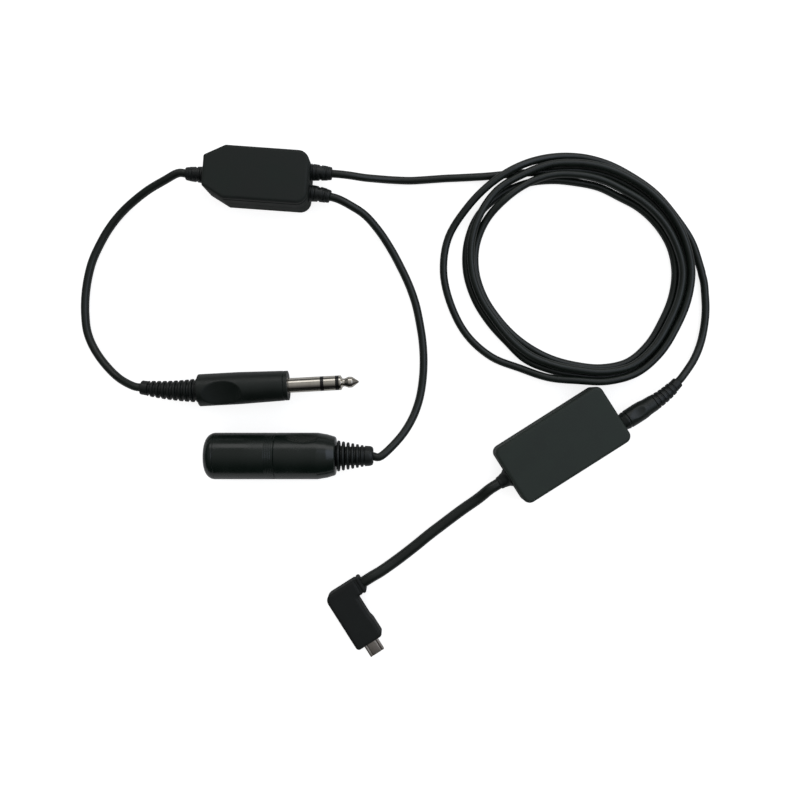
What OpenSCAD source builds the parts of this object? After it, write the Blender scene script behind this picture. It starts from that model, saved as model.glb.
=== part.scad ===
// Audio adapter lead set for an aviation headset: a splitter box with three
// leads. One ends in a 6.35 mm three-pole plug, one in an in-line 6.35 mm jack,
// and the coiled one in a 3.5 mm plug that sits in a camera adapter with a
// right-angle mini USB plug.
//
// Frame: the origin is the centre of the splitter box's underside, +X runs
// along the box towards its two leads, +Z is up, and z = 0 is the table.
// Millimetres throughout.

/* [Splitter box] */
// Length of the splitter box
case_l = 44.5; // [40:0.5:60]
// Width of the splitter box
case_w = 22.5; // [20:0.5:32]
// Height of the splitter box
case_h = 18; // [16:0.5:26]
// Wall of both half shells
case_wall = 1.8; // [1.4:0.1:2.4]
// Length of the bevel at each corner of the single-lead end
case_bevel_l = 9; // [5:0.5:12]
// How far that bevel narrows each side
case_bevel_w = 4.8; // [2:0.2:5.4]
// Corner radius at the two-lead end
case_corner_r = 4.8; // [2:0.2:5.6]
// Rounding of the top edge
case_edge_r = 1.3; // [0.6:0.1:1.6]
// Height of the seam between the half shells, and of the lead axes
case_seam_z = 9; // [8:0.25:11]
// How far the shadow line round the cover lies below the top
case_line_drop = 2.5; // [1.8:0.1:4]
// Distance between the two leads that leave side by side
lead_spacing = 9; // [8.6:0.1:10]

/* [Splitter inside] */
// Length of the circuit board in the splitter
board_l = 30; // [20:1:33]
// Width of that board
board_w = 16; // [10:0.5:17]
// Thickness of both circuit boards
board_t = 1.2; // [0.8:0.1:1.6]
// Height of the posts under the splitter's board
post_h = 1.6; // [1:0.1:2.2]
// Side of the square matching transformer
transformer_s = 8; // [6:0.5:9]
// Height of the matching transformer
transformer_h = 7.5; // [5:0.5:8.5]

/* [Splitter strain reliefs] */
// Length of the relief of the single lead, outside the box
exit_l = 9; // [7:0.5:14]
// Radius of each relief next to the box
exit_r0 = 3.6; // [3.2:0.1:4.2]
// Radius of each relief at its tip
exit_r1 = 2.7; // [2.4:0.1:3.1]
// Bend of the relief on the jack's lead
exit_bend = 12; // [0:1:20]

/* [Plug] */
// Radius of the plug's shank
trs_r = 3.175; // [3.1:0.025:3.3]
// Length of the shank's sleeve outside the handle
trs_sleeve_l = 13.9; // [12:0.1:15]
// Length of the ring contact
trs_ring_l = 5; // [3.5:0.1:6]
// Thickness of each black washer
trs_washer_l = 1.5; // [1:0.1:2]
// Length of the tip contact
trs_tip_l = 8.6; // [7.5:0.1:9.5]
// Length of the moulded handle
handle_l = 38.4; // [34:0.2:46]
// Radius of the handle at its cord end
handle_r = 6.95; // [6.6:0.05:8]
// Radius of the handle at its plug end
handle_front_r = 6.4; // [5.8:0.05:6.6]
// Depth of the oval thumb scallop
scallop_depth = 2.3; // [1:0.1:2.5]
// Radius of the ball that cuts the scallop
scallop_ball_r = 15.7; // [14:0.1:20]
// Distance of the scallop's middle from the handle's cord end
scallop_x = 10.6; // [9:0.2:16]
// Turn of the scallop about the handle's axis
scallop_turn = 14; // [0:1:30]
// Length of the ribbed relief behind the handle
plug_relief_l = 25.3; // [20:0.5:32]
// Bend of that relief
plug_relief_bend = 12; // [0:1:20]
// Number of its ribs
plug_relief_ribs = 9; // [6:1:11]

/* [Jack] */
// Outer radius of the in-line jack
jack_r = 9.95; // [9.6:0.05:11]
// Length of the jack's front barrel
barrel_l = 30; // [28:0.5:36]
// Length of the jack's rear cap
cap_l = 25.6; // [22:0.2:30]
// Length of the rounded end of the barrel
jack_nose_l = 4.2; // [2:0.1:6]
// Radius of the bore that takes a 6.35 mm plug
jack_bore_r = 3.25; // [3.2:0.01:3.4]
// Depth of that bore from the mouth
jack_depth = 33; // [31:0.5:34]
// Depth of the two thumb scallops in the cap
jack_scallop_depth = 0.7; // [0.3:0.1:1.2]
// Turn of those scallops about the jack's axis
jack_scallop_turn = -58; // [-90:2:90]
// Length of the ribbed relief behind the cap
jack_relief_l = 16; // [14:0.5:20]
// Number of its ribs
jack_relief_ribs = 6; // [4:1:7]

/* [Mini plug] */
// Radius of the 3.5 mm plug's pin
mini_r = 1.75; // [1.7:0.01:1.8]
// Length of the pin's sleeve contact
mini_sleeve_l = 6.3; // [5.5:0.1:7]
// Length of the pin's ring contact
mini_ring_l = 2.4; // [2:0.1:3]
// Thickness of each washer on the pin
mini_washer_l = 0.6; // [0.4:0.05:0.8]
// Length of the pin's tip
mini_tip_l = 4.1; // [3.6:0.1:4.5]
// Length of the moulded grip
grip_l = 16.7; // [14:0.1:20]
// Largest radius of the grip
grip_r = 4.15; // [3.9:0.05:4.8]
// Length of the mini plug's relief
mini_relief_l = 13.8; // [11:0.2:17]
// Bend of that relief
mini_relief_bend = 17; // [0:1:24]

/* [Camera adapter] */
// Length of the adapter box
adapter_l = 53.6; // [50:0.2:64]
// Width of the adapter box
adapter_w = 27.7; // [26:0.1:34]
// Height of the adapter box
adapter_h = 12; // [11:0.25:16]
// Wall of both adapter half shells
adapter_wall = 1.6; // [1.2:0.1:2]
// Corner radius of the adapter box
adapter_corner_r = 3.25; // [2.5:0.25:6]
// Rounding of the adapter's top edge
adapter_edge_r = 1.5; // [0.8:0.1:1.8]
// Height of the adapter's seam and of its two connector axes
adapter_seam_z = 6; // [5:0.25:7]
// Offset of the plug socket from the adapter's middle line
socket_offset = 6.4; // [3:0.1:7.5]
// Side of the square socket block
socket_s = 7.6; // [6.6:0.1:7.8]
// Radius of the flared grommet at the box
grommet_r0 = 4.2; // [3.4:0.1:4.4]
// Length of the grommet outside the box
grommet_l = 5; // [4:0.25:8]

/* [USB plug] */
// Length of the overmould's leg, from the outer side of its arm
usb_leg_l = 27.2; // [24:0.2:32]
// Width of the leg
usb_leg_w = 13; // [11:0.1:15]
// Length of the arm beyond the leg's middle line
usb_arm_l = 10.8; // [10.5:0.1:15]
// Width of the arm
usb_arm_w = 7.4; // [6.4:0.1:8.4]
// Thickness of the overmould
usb_t = 8; // [7:0.1:9.5]
// Width of the metal shell
usb_shell_w = 6.8; // [6.7:0.02:6.9]
// Height of the metal shell
usb_shell_h = 3; // [2.96:0.02:3.1]
// How far the metal shell stands out
usb_shell_out = 5.6; // [5:0.1:7]

/* [Cords] */
// Diameter of the leads to the plug and the jack
lead_d = 3.5; // [3:0.1:4]
// Diameter of the coiled recorder lead
recorder_d = 3.3; // [3:0.1:3.4]
// Diameter of the short lead to the USB plug
camera_d = 4.8; // [4.2:0.1:5]
// Distance between neighbouring strands of the coil
strand_pitch = 3.9; // [3.85:0.05:4.2]
// Height of a strand that lies on another, above the one beneath
strand_rise = 3.75; // [3.75:0.05:4.2]

/* [Layout] */
// How far the plug's lead swings out past the splitter box
plug_swing = 51.25; // [46:0.25:56]
// Distance of the USB plug's arm from the splitter's middle line
usb_y = 170.7; // [168:0.1:174]

/* [Hidden] */

$fn = 64;

// Colours of the real materials
black_case = "#262a29";
black_rubber = "#1b1d1d";
black_cord = "#202323";
nickel = "#b9b7b0";
steel = "#8f8c88";
board_green = "#2c5f3f";

// Clearances
slip = 0.05;        // radial play of a part that slides into another
layer_gap = 0.02;   // play between the coaxial layers of a plug
joint_gap = 0.3;    // space between the mini plug's grip and the adapter

// ---- Layout on the table ----
plug_at = [-19.3, -92.3];
plug_yaw = 7.2;
jack_at = [-13.8, -120.12];
jack_yaw = 4.1;
adapter_at = [138.1, -104.4];
adapter_yaw = 36.5;
usb_at = [56.8, -usb_y];      // end of the arm, where the cord leaves
usb_yaw = adapter_yaw;
coil_at = [140.3, -28.8];
coil_in_heading = 187;        // of the lead where it meets the coil, looking back
coil_out_heading = 108;       // of the tail where it leaves the coil, looking back

// ---- General geometry ----
function unit(v) = v / norm(v);
function heading(a) = [cos(a), sin(a), 0];

// Points of a circle of radius r about p, square to direction d
function ring(p, d, r, n) =
    let (side = unit(cross(d, [0, 0, 1])), up = cross(side, unit(d)))
    [for (i = [0 : n - 1])
        let (a = 360 * (i + 0.5) / n) p + r * (cos(a) * side + sin(a) * up)];

// Side faces between successive rings of n points, as triangles
function side_faces(m, n) =
    [for (i = [0 : m - 2], j = [0 : n - 1])
        let (a = i * n + j, b = i * n + (j + 1) % n)
        each [[a, b, b + n], [a, b + n, a + n]]];

// A solid through rings that all have the same number of points
module skin(rings) {
    n = len(rings[0]);
    m = len(rings);
    base = (m - 1) * n;
    first = [for (j = [1 : n - 2]) [0, j + 1, j]];
    last = [for (j = [1 : n - 2]) [base, base + j, base + j + 1]];
    polyhedron(points = [for (r = rings) each r],
               faces = concat(first, side_faces(m, n), last));
}

// One rounded corner of an outline, drawn in by inset
function corner_arc(prev, here, next, inset, steps) =
    let (d1 = unit([here.x - prev.x, here.y - prev.y]),
         d2 = unit([next.x - here.x, next.y - here.y]),
         n1 = [d1.y, -d1.x],
         n2 = [d2.y, -d2.x],
         s = sign(d1.x * d2.y - d1.y * d2.x),
         half = acos(d1 * d2) / 2,
         r = max(0.2, here.z - s * inset),
         centre = [here.x, here.y] - (s * r + inset) / cos(half) * unit(n1 + n2),
         a1 = atan2(n1.y, n1.x))
    [for (i = [0 : steps])
        let (a = a1 + s * 2 * half * i / steps) centre + s * r * [cos(a), sin(a)]];

// Outline through corners given as [x, y, radius], anticlockwise
function outline(corners, inset = 0, steps = 5) =
    let (n = len(corners))
    [for (i = [0 : n - 1])
        each corner_arc(corners[(i + n - 1) % n], corners[i], corners[(i + 1) % n], inset, steps)];

// Levels [z, inset] of a rounded top edge and of a rounded bottom edge
function top_edge(z, r, steps = 3) =
    [for (k = [0 : steps]) [z - r * (1 - cos(90 * k / steps)), r * (1 - sin(90 * k / steps))]];
function bottom_edge(z, r, steps = 3) =
    [for (k = [steps : -1 : 0]) [z + r * (1 - cos(90 * k / steps)), r * (1 - sin(90 * k / steps))]];

// A moulding over an outline, through levels listed from the top down
module moulding(corners, levels) {
    rings = [for (l = levels) [for (p = outline(corners, l[1])) [p.x, p.y, l[0]]]];
    n = len(rings[0]);
    m = len(rings);
    polyhedron(points = [for (r = rings) each r],
               faces = concat([[for (j = [n - 1 : -1 : 0]) j]], side_faces(m, n),
                              [[for (j = [0 : n - 1]) (m - 1) * n + j]]));
}

// A straight-walled block over the same outline
module slab(corners, inset, z0, z1) {
    translate([0, 0, z0]) linear_extrude(z1 - z0) polygon(outline(corners, inset));
}

// A turned piece along +X from a profile of [radius, x]
module lathe(profile) {
    rotate([0, 90, 0]) rotate_extrude() polygon(profile);
}

// A plain disc or tube along +X from x0 to x1
module disc(r, x0, x1) {
    translate([x0, 0, 0]) rotate([0, 90, 0]) cylinder(r = r, h = x1 - x0);
}

module tube(r_in, r_out, x0, x1) {
    lathe([[r_in, x0], [r_out, x0], [r_out, x1], [r_in, x1]]);
}

// ---- Strain reliefs ----
// Place at distance s along an arc of length l that starts at the origin along
// +X and turns by bend in all
function arc_at(s, l, bend) =
    bend == 0 || s <= 0 ? [s, 0, 0]
    : let (r = l * 180 / (PI * bend), a = bend * s / l) [r * sin(a), r * (1 - cos(a)), 0];

function arc_heading(s, l, bend) = heading(s <= 0 ? 0 : bend * s / l);

// Stations [s, r] of n ribs between s0 and s1, on a core that is thinner by groove
function rib_stations(s0, s1, r0, r1, n, groove) =
    let (pitch = (s1 - s0) / n)
    [for (i = [0 : n - 1])
        let (s = s0 + i * pitch, r = r0 + (r1 - r0) * i / n, next = r0 + (r1 - r0) * (i + 1) / n)
        each [[s, r], [s + 0.6 * pitch, r + 0.6 * (next - r)],
              [s + 0.6 * pitch, r - groove], [s + pitch, next - groove]]];

// A relief swept through stations [s, r] along an arc
module relief(stations, l, bend, sides = 16) {
    skin([for (t = stations) ring(arc_at(t[0], l, bend), arc_heading(t[0], l, bend), t[1], sides)]);
}

// ---- Splitter box ----
case_corners = [[case_l / 2, -case_w / 2, case_corner_r], [case_l / 2, case_w / 2, case_corner_r],
                [-case_l / 2 + case_bevel_l, case_w / 2, 1.2],
                [-case_l / 2, case_w / 2 - case_bevel_w, 1.2],
                [-case_l / 2, -case_w / 2 + case_bevel_w, 1.2],
                [-case_l / 2 + case_bevel_l, -case_w / 2, 1.2]];
case_seam_bevel = 0.25;
case_lip_h = 1.2;
case_rebate = [for (c = case_corners) [c.x, c.y, min(c.z, 2 * case_wall)]];
case_cavity = [for (c = case_corners) [c.x, c.y, min(c.z, case_wall + 1)]];
case_line_w = 0.5;
case_line_depth = 0.3;
exit_neck_r = 2.8;      // radius of a relief where it passes the wall
exit_root_r = 3.9;      // radius of its flange inside the wall
exit_root_l = 1.4;
exit_groove = 0.35;
exit_ribs = 3;
exit_tip_l = 2;

// The place and heading of each lead's exit: [x, y, angle, bend]
plug_exit = [-case_l / 2, 0, 180, 0];
jack_exit = [case_l / 2, -lead_spacing / 2, 0, -exit_bend];
recorder_exit = [case_l / 2, lead_spacing / 2, 0, 0];

module at_exit(e) {
    translate([e[0], e[1], case_seam_z]) rotate(e[2]) children();
}

module exit_holes() {
    for (e = [plug_exit, jack_exit, recorder_exit])
        at_exit(e) disc(exit_neck_r + slip, -case_wall - case_lip_h, 1);
}

// The lip that lines up the half shells, as a ring of the wall's inner half
module case_lip(play, height) {
    difference() {
        slab(case_rebate, case_wall / 2 + play, case_seam_z - 1, case_seam_z + height);
        slab(case_cavity, case_wall, case_seam_z - 2, case_seam_z + height + 1);
    }
}

module case_posts() {
    for (x = [-1, 1], y = [-1, 1])
        translate([x * (board_l / 2 - 2.5), y * (board_w / 2 - 2.5), case_wall])
            cylinder(r = 1.6, h = post_h);
}

module splitter_base() {
    color(black_case) difference() {
        union() {
            difference() {
                moulding(case_corners, concat([[case_seam_z, case_seam_bevel],
                                               [case_seam_z - case_seam_bevel, 0]],
                                              bottom_edge(0, 0.8)));
                slab(case_cavity, case_wall, case_wall, case_seam_z + 1);
            }
            case_lip(slip, case_lip_h);
            case_posts();
        }
        exit_holes();
    }
}

module splitter_cover() {
    line_z = case_h - case_line_drop;
    color(black_case) difference() {
        moulding(case_corners, concat(top_edge(case_h, case_edge_r, 4),
                                      [[line_z, 0], [line_z, case_line_depth],
                                       [line_z - case_line_w, case_line_depth],
                                       [line_z - case_line_w, 0],
                                       [case_seam_z + case_seam_bevel, 0],
                                       [case_seam_z, case_seam_bevel]]));
        slab(case_cavity, case_wall, case_seam_z - 1, case_h - case_wall);
        slab(case_rebate, case_wall / 2, case_seam_z - 1, case_seam_z + case_lip_h + slip);
        exit_holes();
    }
}

// ---- Inside the splitter ----
splitter_board_z = case_wall + post_h;
splitter_top_z = splitter_board_z + board_t;

module splitter_board() {
    color(board_green) translate([0, 0, splitter_board_z]) difference() {
        translate([-board_l / 2, -board_w / 2, 0]) cube([board_l, board_w, board_t]);
        for (x = [-1, 1], y = [-1, 1])
            translate([x * (board_l / 2 - 2.5), y * (board_w / 2 - 2.5), -1])
                cylinder(r = 0.6, h = board_t + 2);
    }
}

// A bobbin transformer: a laminated core frame round a wound bobbin
module splitter_transformer() {
    s = transformer_s;
    h = transformer_h;
    leg = s * 0.18;
    color("#6d5a42") translate([-board_l / 4, 0, splitter_top_z]) difference() {
        translate([-s / 2, -s / 2, 0]) cube([s, s, h]);
        for (side = [-1, 1])
            translate([side * (s / 4), 0, h / 2]) cube([s / 2 - 2 * leg, s + 1, h - 2 * leg], center = true);
    }
}

// Three film capacitors in a row and one can beside them
module splitter_components() {
    color("#b59a6a") translate([board_l * 0.12, 0, splitter_top_z]) {
        for (i = [0 : 2]) translate([3 * i - 1, -2.2, 0]) cube([1.8, 4.4, 2.6]);
        translate([0, board_w / 2 - 3, 0]) cylinder(r = 2, h = 4.5);
    }
}

// Root, neck and outer part of an exit's relief, as stations
exit_stations = concat([[-case_wall - exit_root_l, exit_root_r], [-case_wall, exit_root_r],
                        [-case_wall, exit_neck_r], [0.5, exit_neck_r]],
                       rib_stations(0.5, exit_l - exit_tip_l, exit_r0, exit_r1 + 0.3, exit_ribs,
                                    exit_groove),
                       [[exit_l - exit_tip_l, exit_r1 + 0.2], [exit_l - 0.4, exit_r1],
                        [exit_l, exit_r1 - 0.4]]);

module exit_relief(e) {
    color(black_rubber) at_exit(e) relief(exit_stations, exit_l, e[3]);
}

module plug_lead_exit() exit_relief(plug_exit);
module jack_lead_exit() exit_relief(jack_exit);
module recorder_lead_exit() exit_relief(recorder_exit);

// ---- Three-pole plugs ----
// Both plugs are made of coaxial layers. A spec is
// [shank radius, sleeve length, washer length, ring length, tip length, root radius, root length,
// length of the lip that the root sits behind]
handle_lip = 1.5;
grip_lip = 0.8;
shoulder = 0.25;    // how much wider than the shank the sleeve is inside the lip
trs = [trs_r, trs_sleeve_l, trs_washer_l, trs_ring_l, trs_tip_l, 3.8, 3, handle_lip];
mini = [mini_r, mini_sleeve_l, mini_washer_l, mini_ring_l, mini_tip_l, 2.6, 2, grip_lip];

function layer_r(p, i) = p[0] * [0.28, 0.42, 0.6, 0.76][i];
function washer2_x(p) = p[7] + p[1];
function ring_x(p) = washer2_x(p) + p[2];
function washer1_x(p) = ring_x(p) + p[3];
function tip_x(p) = washer1_x(p) + p[2];
function pin_l(p) = tip_x(p) + p[4] - p[7];

// The sleeve: a tube from its root collar, which seats behind the lip at x = 0,
// to the rear washer
module sleeve_part(p) {
    inner = layer_r(p, 3) + layer_gap;
    lathe([[inner, -p[6]], [p[5], -p[6]], [p[5], 0], [p[0] + shoulder, 0], [p[0] + shoulder, p[7]],
           [p[0], p[7]], [p[0], washer2_x(p)], [inner, washer2_x(p)]]);
}

// A contact or washer that shows between x0 and x1 and runs back as a tube
module layer_part(r_show, r_in, r_out, x0, x1, tail) {
    lathe([[r_in, -tail], [r_out, -tail], [r_out, x0], [r_show, x0], [r_show, x1], [r_in, x1]]);
}

module rear_washer_part(p) {
    layer_part(p[0], layer_r(p, 2) + layer_gap, layer_r(p, 3), washer2_x(p), ring_x(p), p[6] + 0.8);
}

module ring_part(p) {
    layer_part(p[0], layer_r(p, 1) + layer_gap, layer_r(p, 2), ring_x(p), washer1_x(p), p[6] + 2);
}

module front_washer_part(p) {
    layer_part(p[0], layer_r(p, 0) + layer_gap, layer_r(p, 1), washer1_x(p), tip_x(p), p[6] + 2.8);
}

// The tip: a collar, a waist and a bulb that ends in a cone, on the centre rod
module tip_part(p, bulb) {
    x = tip_x(p);
    l = p[4];
    r = p[0];
    lathe([[0, -p[6] - 4], [layer_r(p, 0), -p[6] - 4], [layer_r(p, 0), x], [r, x],
           [r, x + 0.09 * l], [0.56 * r, x + 0.19 * l], [0.54 * r, x + 0.27 * l],
           [0.66 * r, x + 0.38 * l], [0.93 * bulb, x + 0.5 * l], [bulb, x + 0.58 * l],
           [0.92 * bulb, x + 0.66 * l], [0.12 * r, x + 0.985 * l], [0, x + l]]);
}

// ---- The 6.35 mm plug ----
trs_bulb_r = 2.4;
handle_pocket_l = 10;
handle_channel_r = 2;
handle_socket_l = 4;

module at_plug() {
    translate([plug_at.x, plug_at.y, handle_r]) rotate(plug_yaw) children();
}

module at_plug_front() {
    at_plug() translate([handle_l, 0, 0]) children();
}

// Quarter-round edges of a turned piece that starts or ends at x with radius r:
// each is drawn in by e, over a length of l
function round_out(r, x, e, l, steps = 4) =
    [for (k = [0 : steps]) [r - e * (1 - sin(90 * k / steps)), x + l * (1 - cos(90 * k / steps))]];
function round_in(r, x, e, steps = 4) =
    [for (k = [steps : -1 : 0]) [r - e * (1 - sin(90 * k / steps)), x - e * (1 - cos(90 * k / steps))]];

plug_root_r = 3.4;
pocket_x = handle_l - handle_lip - handle_pocket_l;

module plug_handle() {
    color(black_case) at_plug() difference() {
        lathe(concat([[0, 0]], round_out(handle_r, 0, 1.2, 1.2), [[handle_r, 0.45 * handle_l]],
                     round_in(handle_front_r, handle_l, 0.8), [[0, handle_l]]));
        for (side = [0, 180])
            rotate([scallop_turn + side, 0, 0])
                translate([scallop_x, 0, handle_r - scallop_depth + scallop_ball_r])
                    sphere(r = scallop_ball_r, $fn = 96);
        disc(plug_root_r + slip, -1, handle_socket_l);
        disc(handle_channel_r, 0, pocket_x + 1);
        disc(trs[5] + slip, pocket_x, handle_l - handle_lip);
        disc(trs_r + shoulder + slip, pocket_x, handle_l + 1);
    }
}

plug_relief_r0 = 0.75 * handle_r;
plug_relief_r1 = 0.63 * plug_relief_r0;
plug_relief_groove = 0.16 * plug_relief_r0;
plug_relief_ribs_l = 0.874 * plug_relief_l;
plug_relief_stations = concat([[-handle_socket_l, plug_root_r], [0, plug_root_r], [0, plug_relief_r0]],
                              rib_stations(0, plug_relief_ribs_l, plug_relief_r0, plug_relief_r1,
                                           plug_relief_ribs, plug_relief_groove),
                              [[plug_relief_ribs_l, plug_relief_r1 - 0.1],
                               [plug_relief_ribs_l + 0.6, plug_relief_r1 - 0.4],
                               [plug_relief_l - 0.8, plug_relief_r1 - 0.2],
                               [plug_relief_l, plug_relief_r1 - 0.8]]);

module plug_strain_relief() {
    color(black_rubber) at_plug() rotate(180) relief(plug_relief_stations, plug_relief_l, -plug_relief_bend);
}

// The sleeve's collar seats behind the handle's front lip
module at_trs() {
    at_plug_front() translate([-handle_lip, 0, 0]) children();
}

module plug_sleeve() color(nickel) at_trs() sleeve_part(trs);
module plug_rear_washer() color("#111111") at_trs() rear_washer_part(trs);
module plug_ring() color(nickel) at_trs() ring_part(trs);
module plug_front_washer() color("#111111") at_trs() front_washer_part(trs);
module plug_tip() color(nickel) at_trs() tip_part(trs, trs_bulb_r);

// ---- In-line jack ----
jack_wall = 2.35;
jack_front_t = 4;
jack_mouth_flat = 0.4;
jack_scallop_ball_r = 34;
jack_scallop_x = 0.47;
barrel_lines = 5;
barrel_line_pitch = 0.7;
bushing_neck_r = 5;
bushing_flange_r = 6.5;
bushing_flange_t = 2;
bushing_tail_r = 4.5;
bushing_l = 11;
carrier_r = 5.6;
carrier_end_t = 2;
carrier_flat = 5.2;
spring_t = 0.4;
spring_w = 2.4;
spigot_l = 4;
spigot_wall = 0.9;
cap_back_t = 5;
jack_root_r = 4;

module at_jack() {
    translate([jack_at.x, jack_at.y, jack_r]) rotate(jack_yaw) children();
}

module jack_barrel() {
    cavity_r = jack_r - jack_wall;
    mouth_r = bushing_neck_r + slip;
    color(black_case) at_jack()
        lathe(concat([[mouth_r, 0]],
                     round_out(jack_r, 0, jack_r - mouth_r - jack_mouth_flat, jack_nose_l, 8),
                     [for (i = [barrel_lines : -1 : 1])
                         let (x = barrel_l - 0.4 - barrel_line_pitch * i)
                         each [[jack_r, x - 0.15], [jack_r - 0.15, x], [jack_r, x + 0.15]]],
                     [[jack_r, barrel_l - 0.25], [jack_r - 0.25, barrel_l],
                      [cavity_r, barrel_l], [cavity_r, jack_front_t], [mouth_r, jack_front_t]]));
}

module jack_rear_cap() {
    spigot_r = jack_r - jack_wall - slip;
    end_x = barrel_l + cap_l;
    color(black_case) at_jack() difference() {
        lathe([[spigot_r - spigot_wall, barrel_l - spigot_l], [spigot_r, barrel_l - spigot_l],
               [spigot_r, barrel_l], [jack_r - 0.25, barrel_l], [jack_r, barrel_l + 0.25],
               [jack_r, barrel_l + 0.7 * cap_l], [jack_r - 0.2, barrel_l + 0.77 * cap_l],
               [jack_r - 0.7, barrel_l + 0.86 * cap_l], [jack_r - 1.2, barrel_l + 0.94 * cap_l],
               [jack_r - 1.6, end_x - 0.3], [jack_r - 2.1, end_x],
               [jack_root_r + slip, end_x], [jack_root_r + slip, end_x - cap_back_t],
               [spigot_r - spigot_wall, end_x - cap_back_t]]);
        for (side = [0, 180])
            rotate([jack_scallop_turn + side, 0, 0])
                translate([barrel_l + jack_scallop_x * cap_l, 0,
                           jack_r - jack_scallop_depth + jack_scallop_ball_r])
                    sphere(r = jack_scallop_ball_r, $fn = 96);
    }
}

// Nickel bushing: its neck fills the barrel's front hole, its
// flange seats behind the front wall, and its bore is the sleeve contact
module jack_bushing() {
    color(nickel) at_jack()
        lathe([[jack_bore_r + 0.6, 0], [bushing_neck_r - 0.3, 0], [bushing_neck_r, 0.3],
               [bushing_neck_r, jack_front_t], [bushing_flange_r, jack_front_t],
               [bushing_flange_r, jack_front_t + bushing_flange_t],
               [bushing_tail_r, jack_front_t + bushing_flange_t], [bushing_tail_r, bushing_l],
               [jack_bore_r, bushing_l], [jack_bore_r, 0.6]]);
}

tip_slot_x = jack_depth - 6;
ring_slot_x = jack_depth - 15;
slot_l = 5;

module spring_slot(x, side) {
    translate([x, -spring_w / 2 - 0.3, side > 0 ? 0 : -carrier_r - 1])
        cube([slot_l, spring_w + 0.6, carrier_r + 1]);
}

// The moulded carrier: bored for the plug, with two slots and two flats
module jack_carrier() {
    start_x = jack_front_t + bushing_flange_t;
    end_x = jack_depth + carrier_end_t;
    color("#3a3a38") at_jack() difference() {
        lathe([[bushing_tail_r + slip, start_x], [carrier_r, start_x], [carrier_r, end_x],
               [0, end_x], [0, jack_depth], [jack_bore_r, jack_depth], [jack_bore_r, bushing_l],
               [bushing_tail_r + slip, bushing_l]]);
        for (side = [-1, 1])
            translate([bushing_l + 2, -carrier_r, side > 0 ? carrier_flat : -carrier_flat - 2])
                cube([end_x, 2 * carrier_r, 2]);
        spring_slot(tip_slot_x, 1);
        spring_slot(ring_slot_x, -1);
    }
}

// A leaf on the carrier's flat, with a bump that reaches down its slot to the
// bore's wall and a terminal behind the carrier
module contact_spring(slot_x, side) {
    low = jack_bore_r + 0.1;
    top = carrier_flat + spring_t;
    mid = slot_x + slot_l / 2;
    tail_x = jack_depth + carrier_end_t + 3.5;
    color("#c9b26a") at_jack() rotate([side > 0 ? 0 : 180, 0, 0])
        translate([0, spring_w / 2, 0]) rotate([90, 0, 0]) linear_extrude(spring_w)
            polygon([[slot_x - 2.5, carrier_flat], [slot_x + 0.5, carrier_flat],
                     [mid - 0.4, low], [mid + 0.4, low], [slot_x + slot_l - 0.5, carrier_flat],
                     [tail_x, carrier_flat], [tail_x, top], [slot_x + slot_l - 0.7, top],
                     [mid + 0.2, low + spring_t], [mid - 0.2, low + spring_t],
                     [slot_x + 0.7, top], [slot_x - 2.5, top]]);
}

module jack_tip_spring() contact_spring(tip_slot_x, 1);
module jack_ring_spring() contact_spring(ring_slot_x, -1);

jack_relief_r0 = 0.714 * jack_r;
jack_relief_r1 = 0.462 * jack_r;
jack_collar_l = 0.23 * jack_relief_l;
jack_collar_r = 0.412 * jack_r;
jack_relief_groove = 0.13 * jack_r;

// Ribbed cone with a solid collar at the cord, turned in one profile
module jack_strain_relief() {
    x0 = barrel_l + cap_l;
    ribs_l = jack_relief_l - jack_collar_l;
    pitch = ribs_l / jack_relief_ribs;
    root_x = x0 - cap_back_t;
    flange_r = jack_root_r + 1.4;
    color(black_rubber) at_jack()
        lathe(concat([[0, root_x - 1.5], [flange_r, root_x - 1.5], [flange_r, root_x],
                      [jack_root_r, root_x], [jack_root_r, x0]],
                     [for (i = [0 : jack_relief_ribs - 1])
                         let (x = x0 + i * pitch,
                              r = jack_relief_r0
                                  - (jack_relief_r0 - jack_relief_r1) * i / (jack_relief_ribs - 1),
                              core = r - jack_relief_groove)
                         each [[core, x + 0.1], [core, x + 0.4 * pitch], [r - 0.25, x + 0.5 * pitch],
                               [r, x + 0.62 * pitch], [r - 0.1, x + 0.85 * pitch], [core, x + pitch]]],
                     [[jack_collar_r - 0.7, x0 + ribs_l + 0.1], [jack_collar_r - 0.2, x0 + ribs_l + 0.4],
                      [jack_collar_r, x0 + jack_relief_l - 0.7], [jack_collar_r - 0.6, x0 + jack_relief_l],
                      [0, x0 + jack_relief_l]]));
}

// ---- Mini plug ----
grip_pocket_r = mini[5] + slip;
grip_socket_l = 3;
mini_root_r = 2.2;
mini_ribs = 5;
mini_groove = 0.35;

module at_adapter() {
    translate([adapter_at.x, adapter_at.y, 0]) rotate(adapter_yaw) children();
}

// Local frame of the mini plug: its grip starts at x = 0, its pin points to -X
module at_mini() {
    at_adapter() translate([adapter_l / 2 + joint_gap, -socket_offset, adapter_seam_z]) children();
}

module mini_plug_grip() {
    color(black_case) at_mini() difference() {
        lathe(concat([[0, 0]], round_out(grip_r - 0.05, 0, 0.4, 0.4, 3),
                     [[grip_r - 0.05, 2.4], [grip_r - 0.5, 2.6], [grip_r - 0.5, 2.9],
                      [grip_r - 0.1, 3.2], [grip_r, 0.5 * grip_l], [grip_r - 0.1, 0.66 * grip_l],
                      [grip_r - 0.4, 0.76 * grip_l], [grip_r - 0.55, grip_l - 0.3],
                      [grip_r - 0.8, grip_l], [0, grip_l]]));
        disc(mini_r + shoulder + slip, -1, 2);
        disc(grip_pocket_r, grip_lip, grip_lip + 7);
        disc(1.5, grip_lip, grip_l);
        disc(mini_root_r + slip, grip_l - grip_socket_l, grip_l + 1);
    }
}

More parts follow.
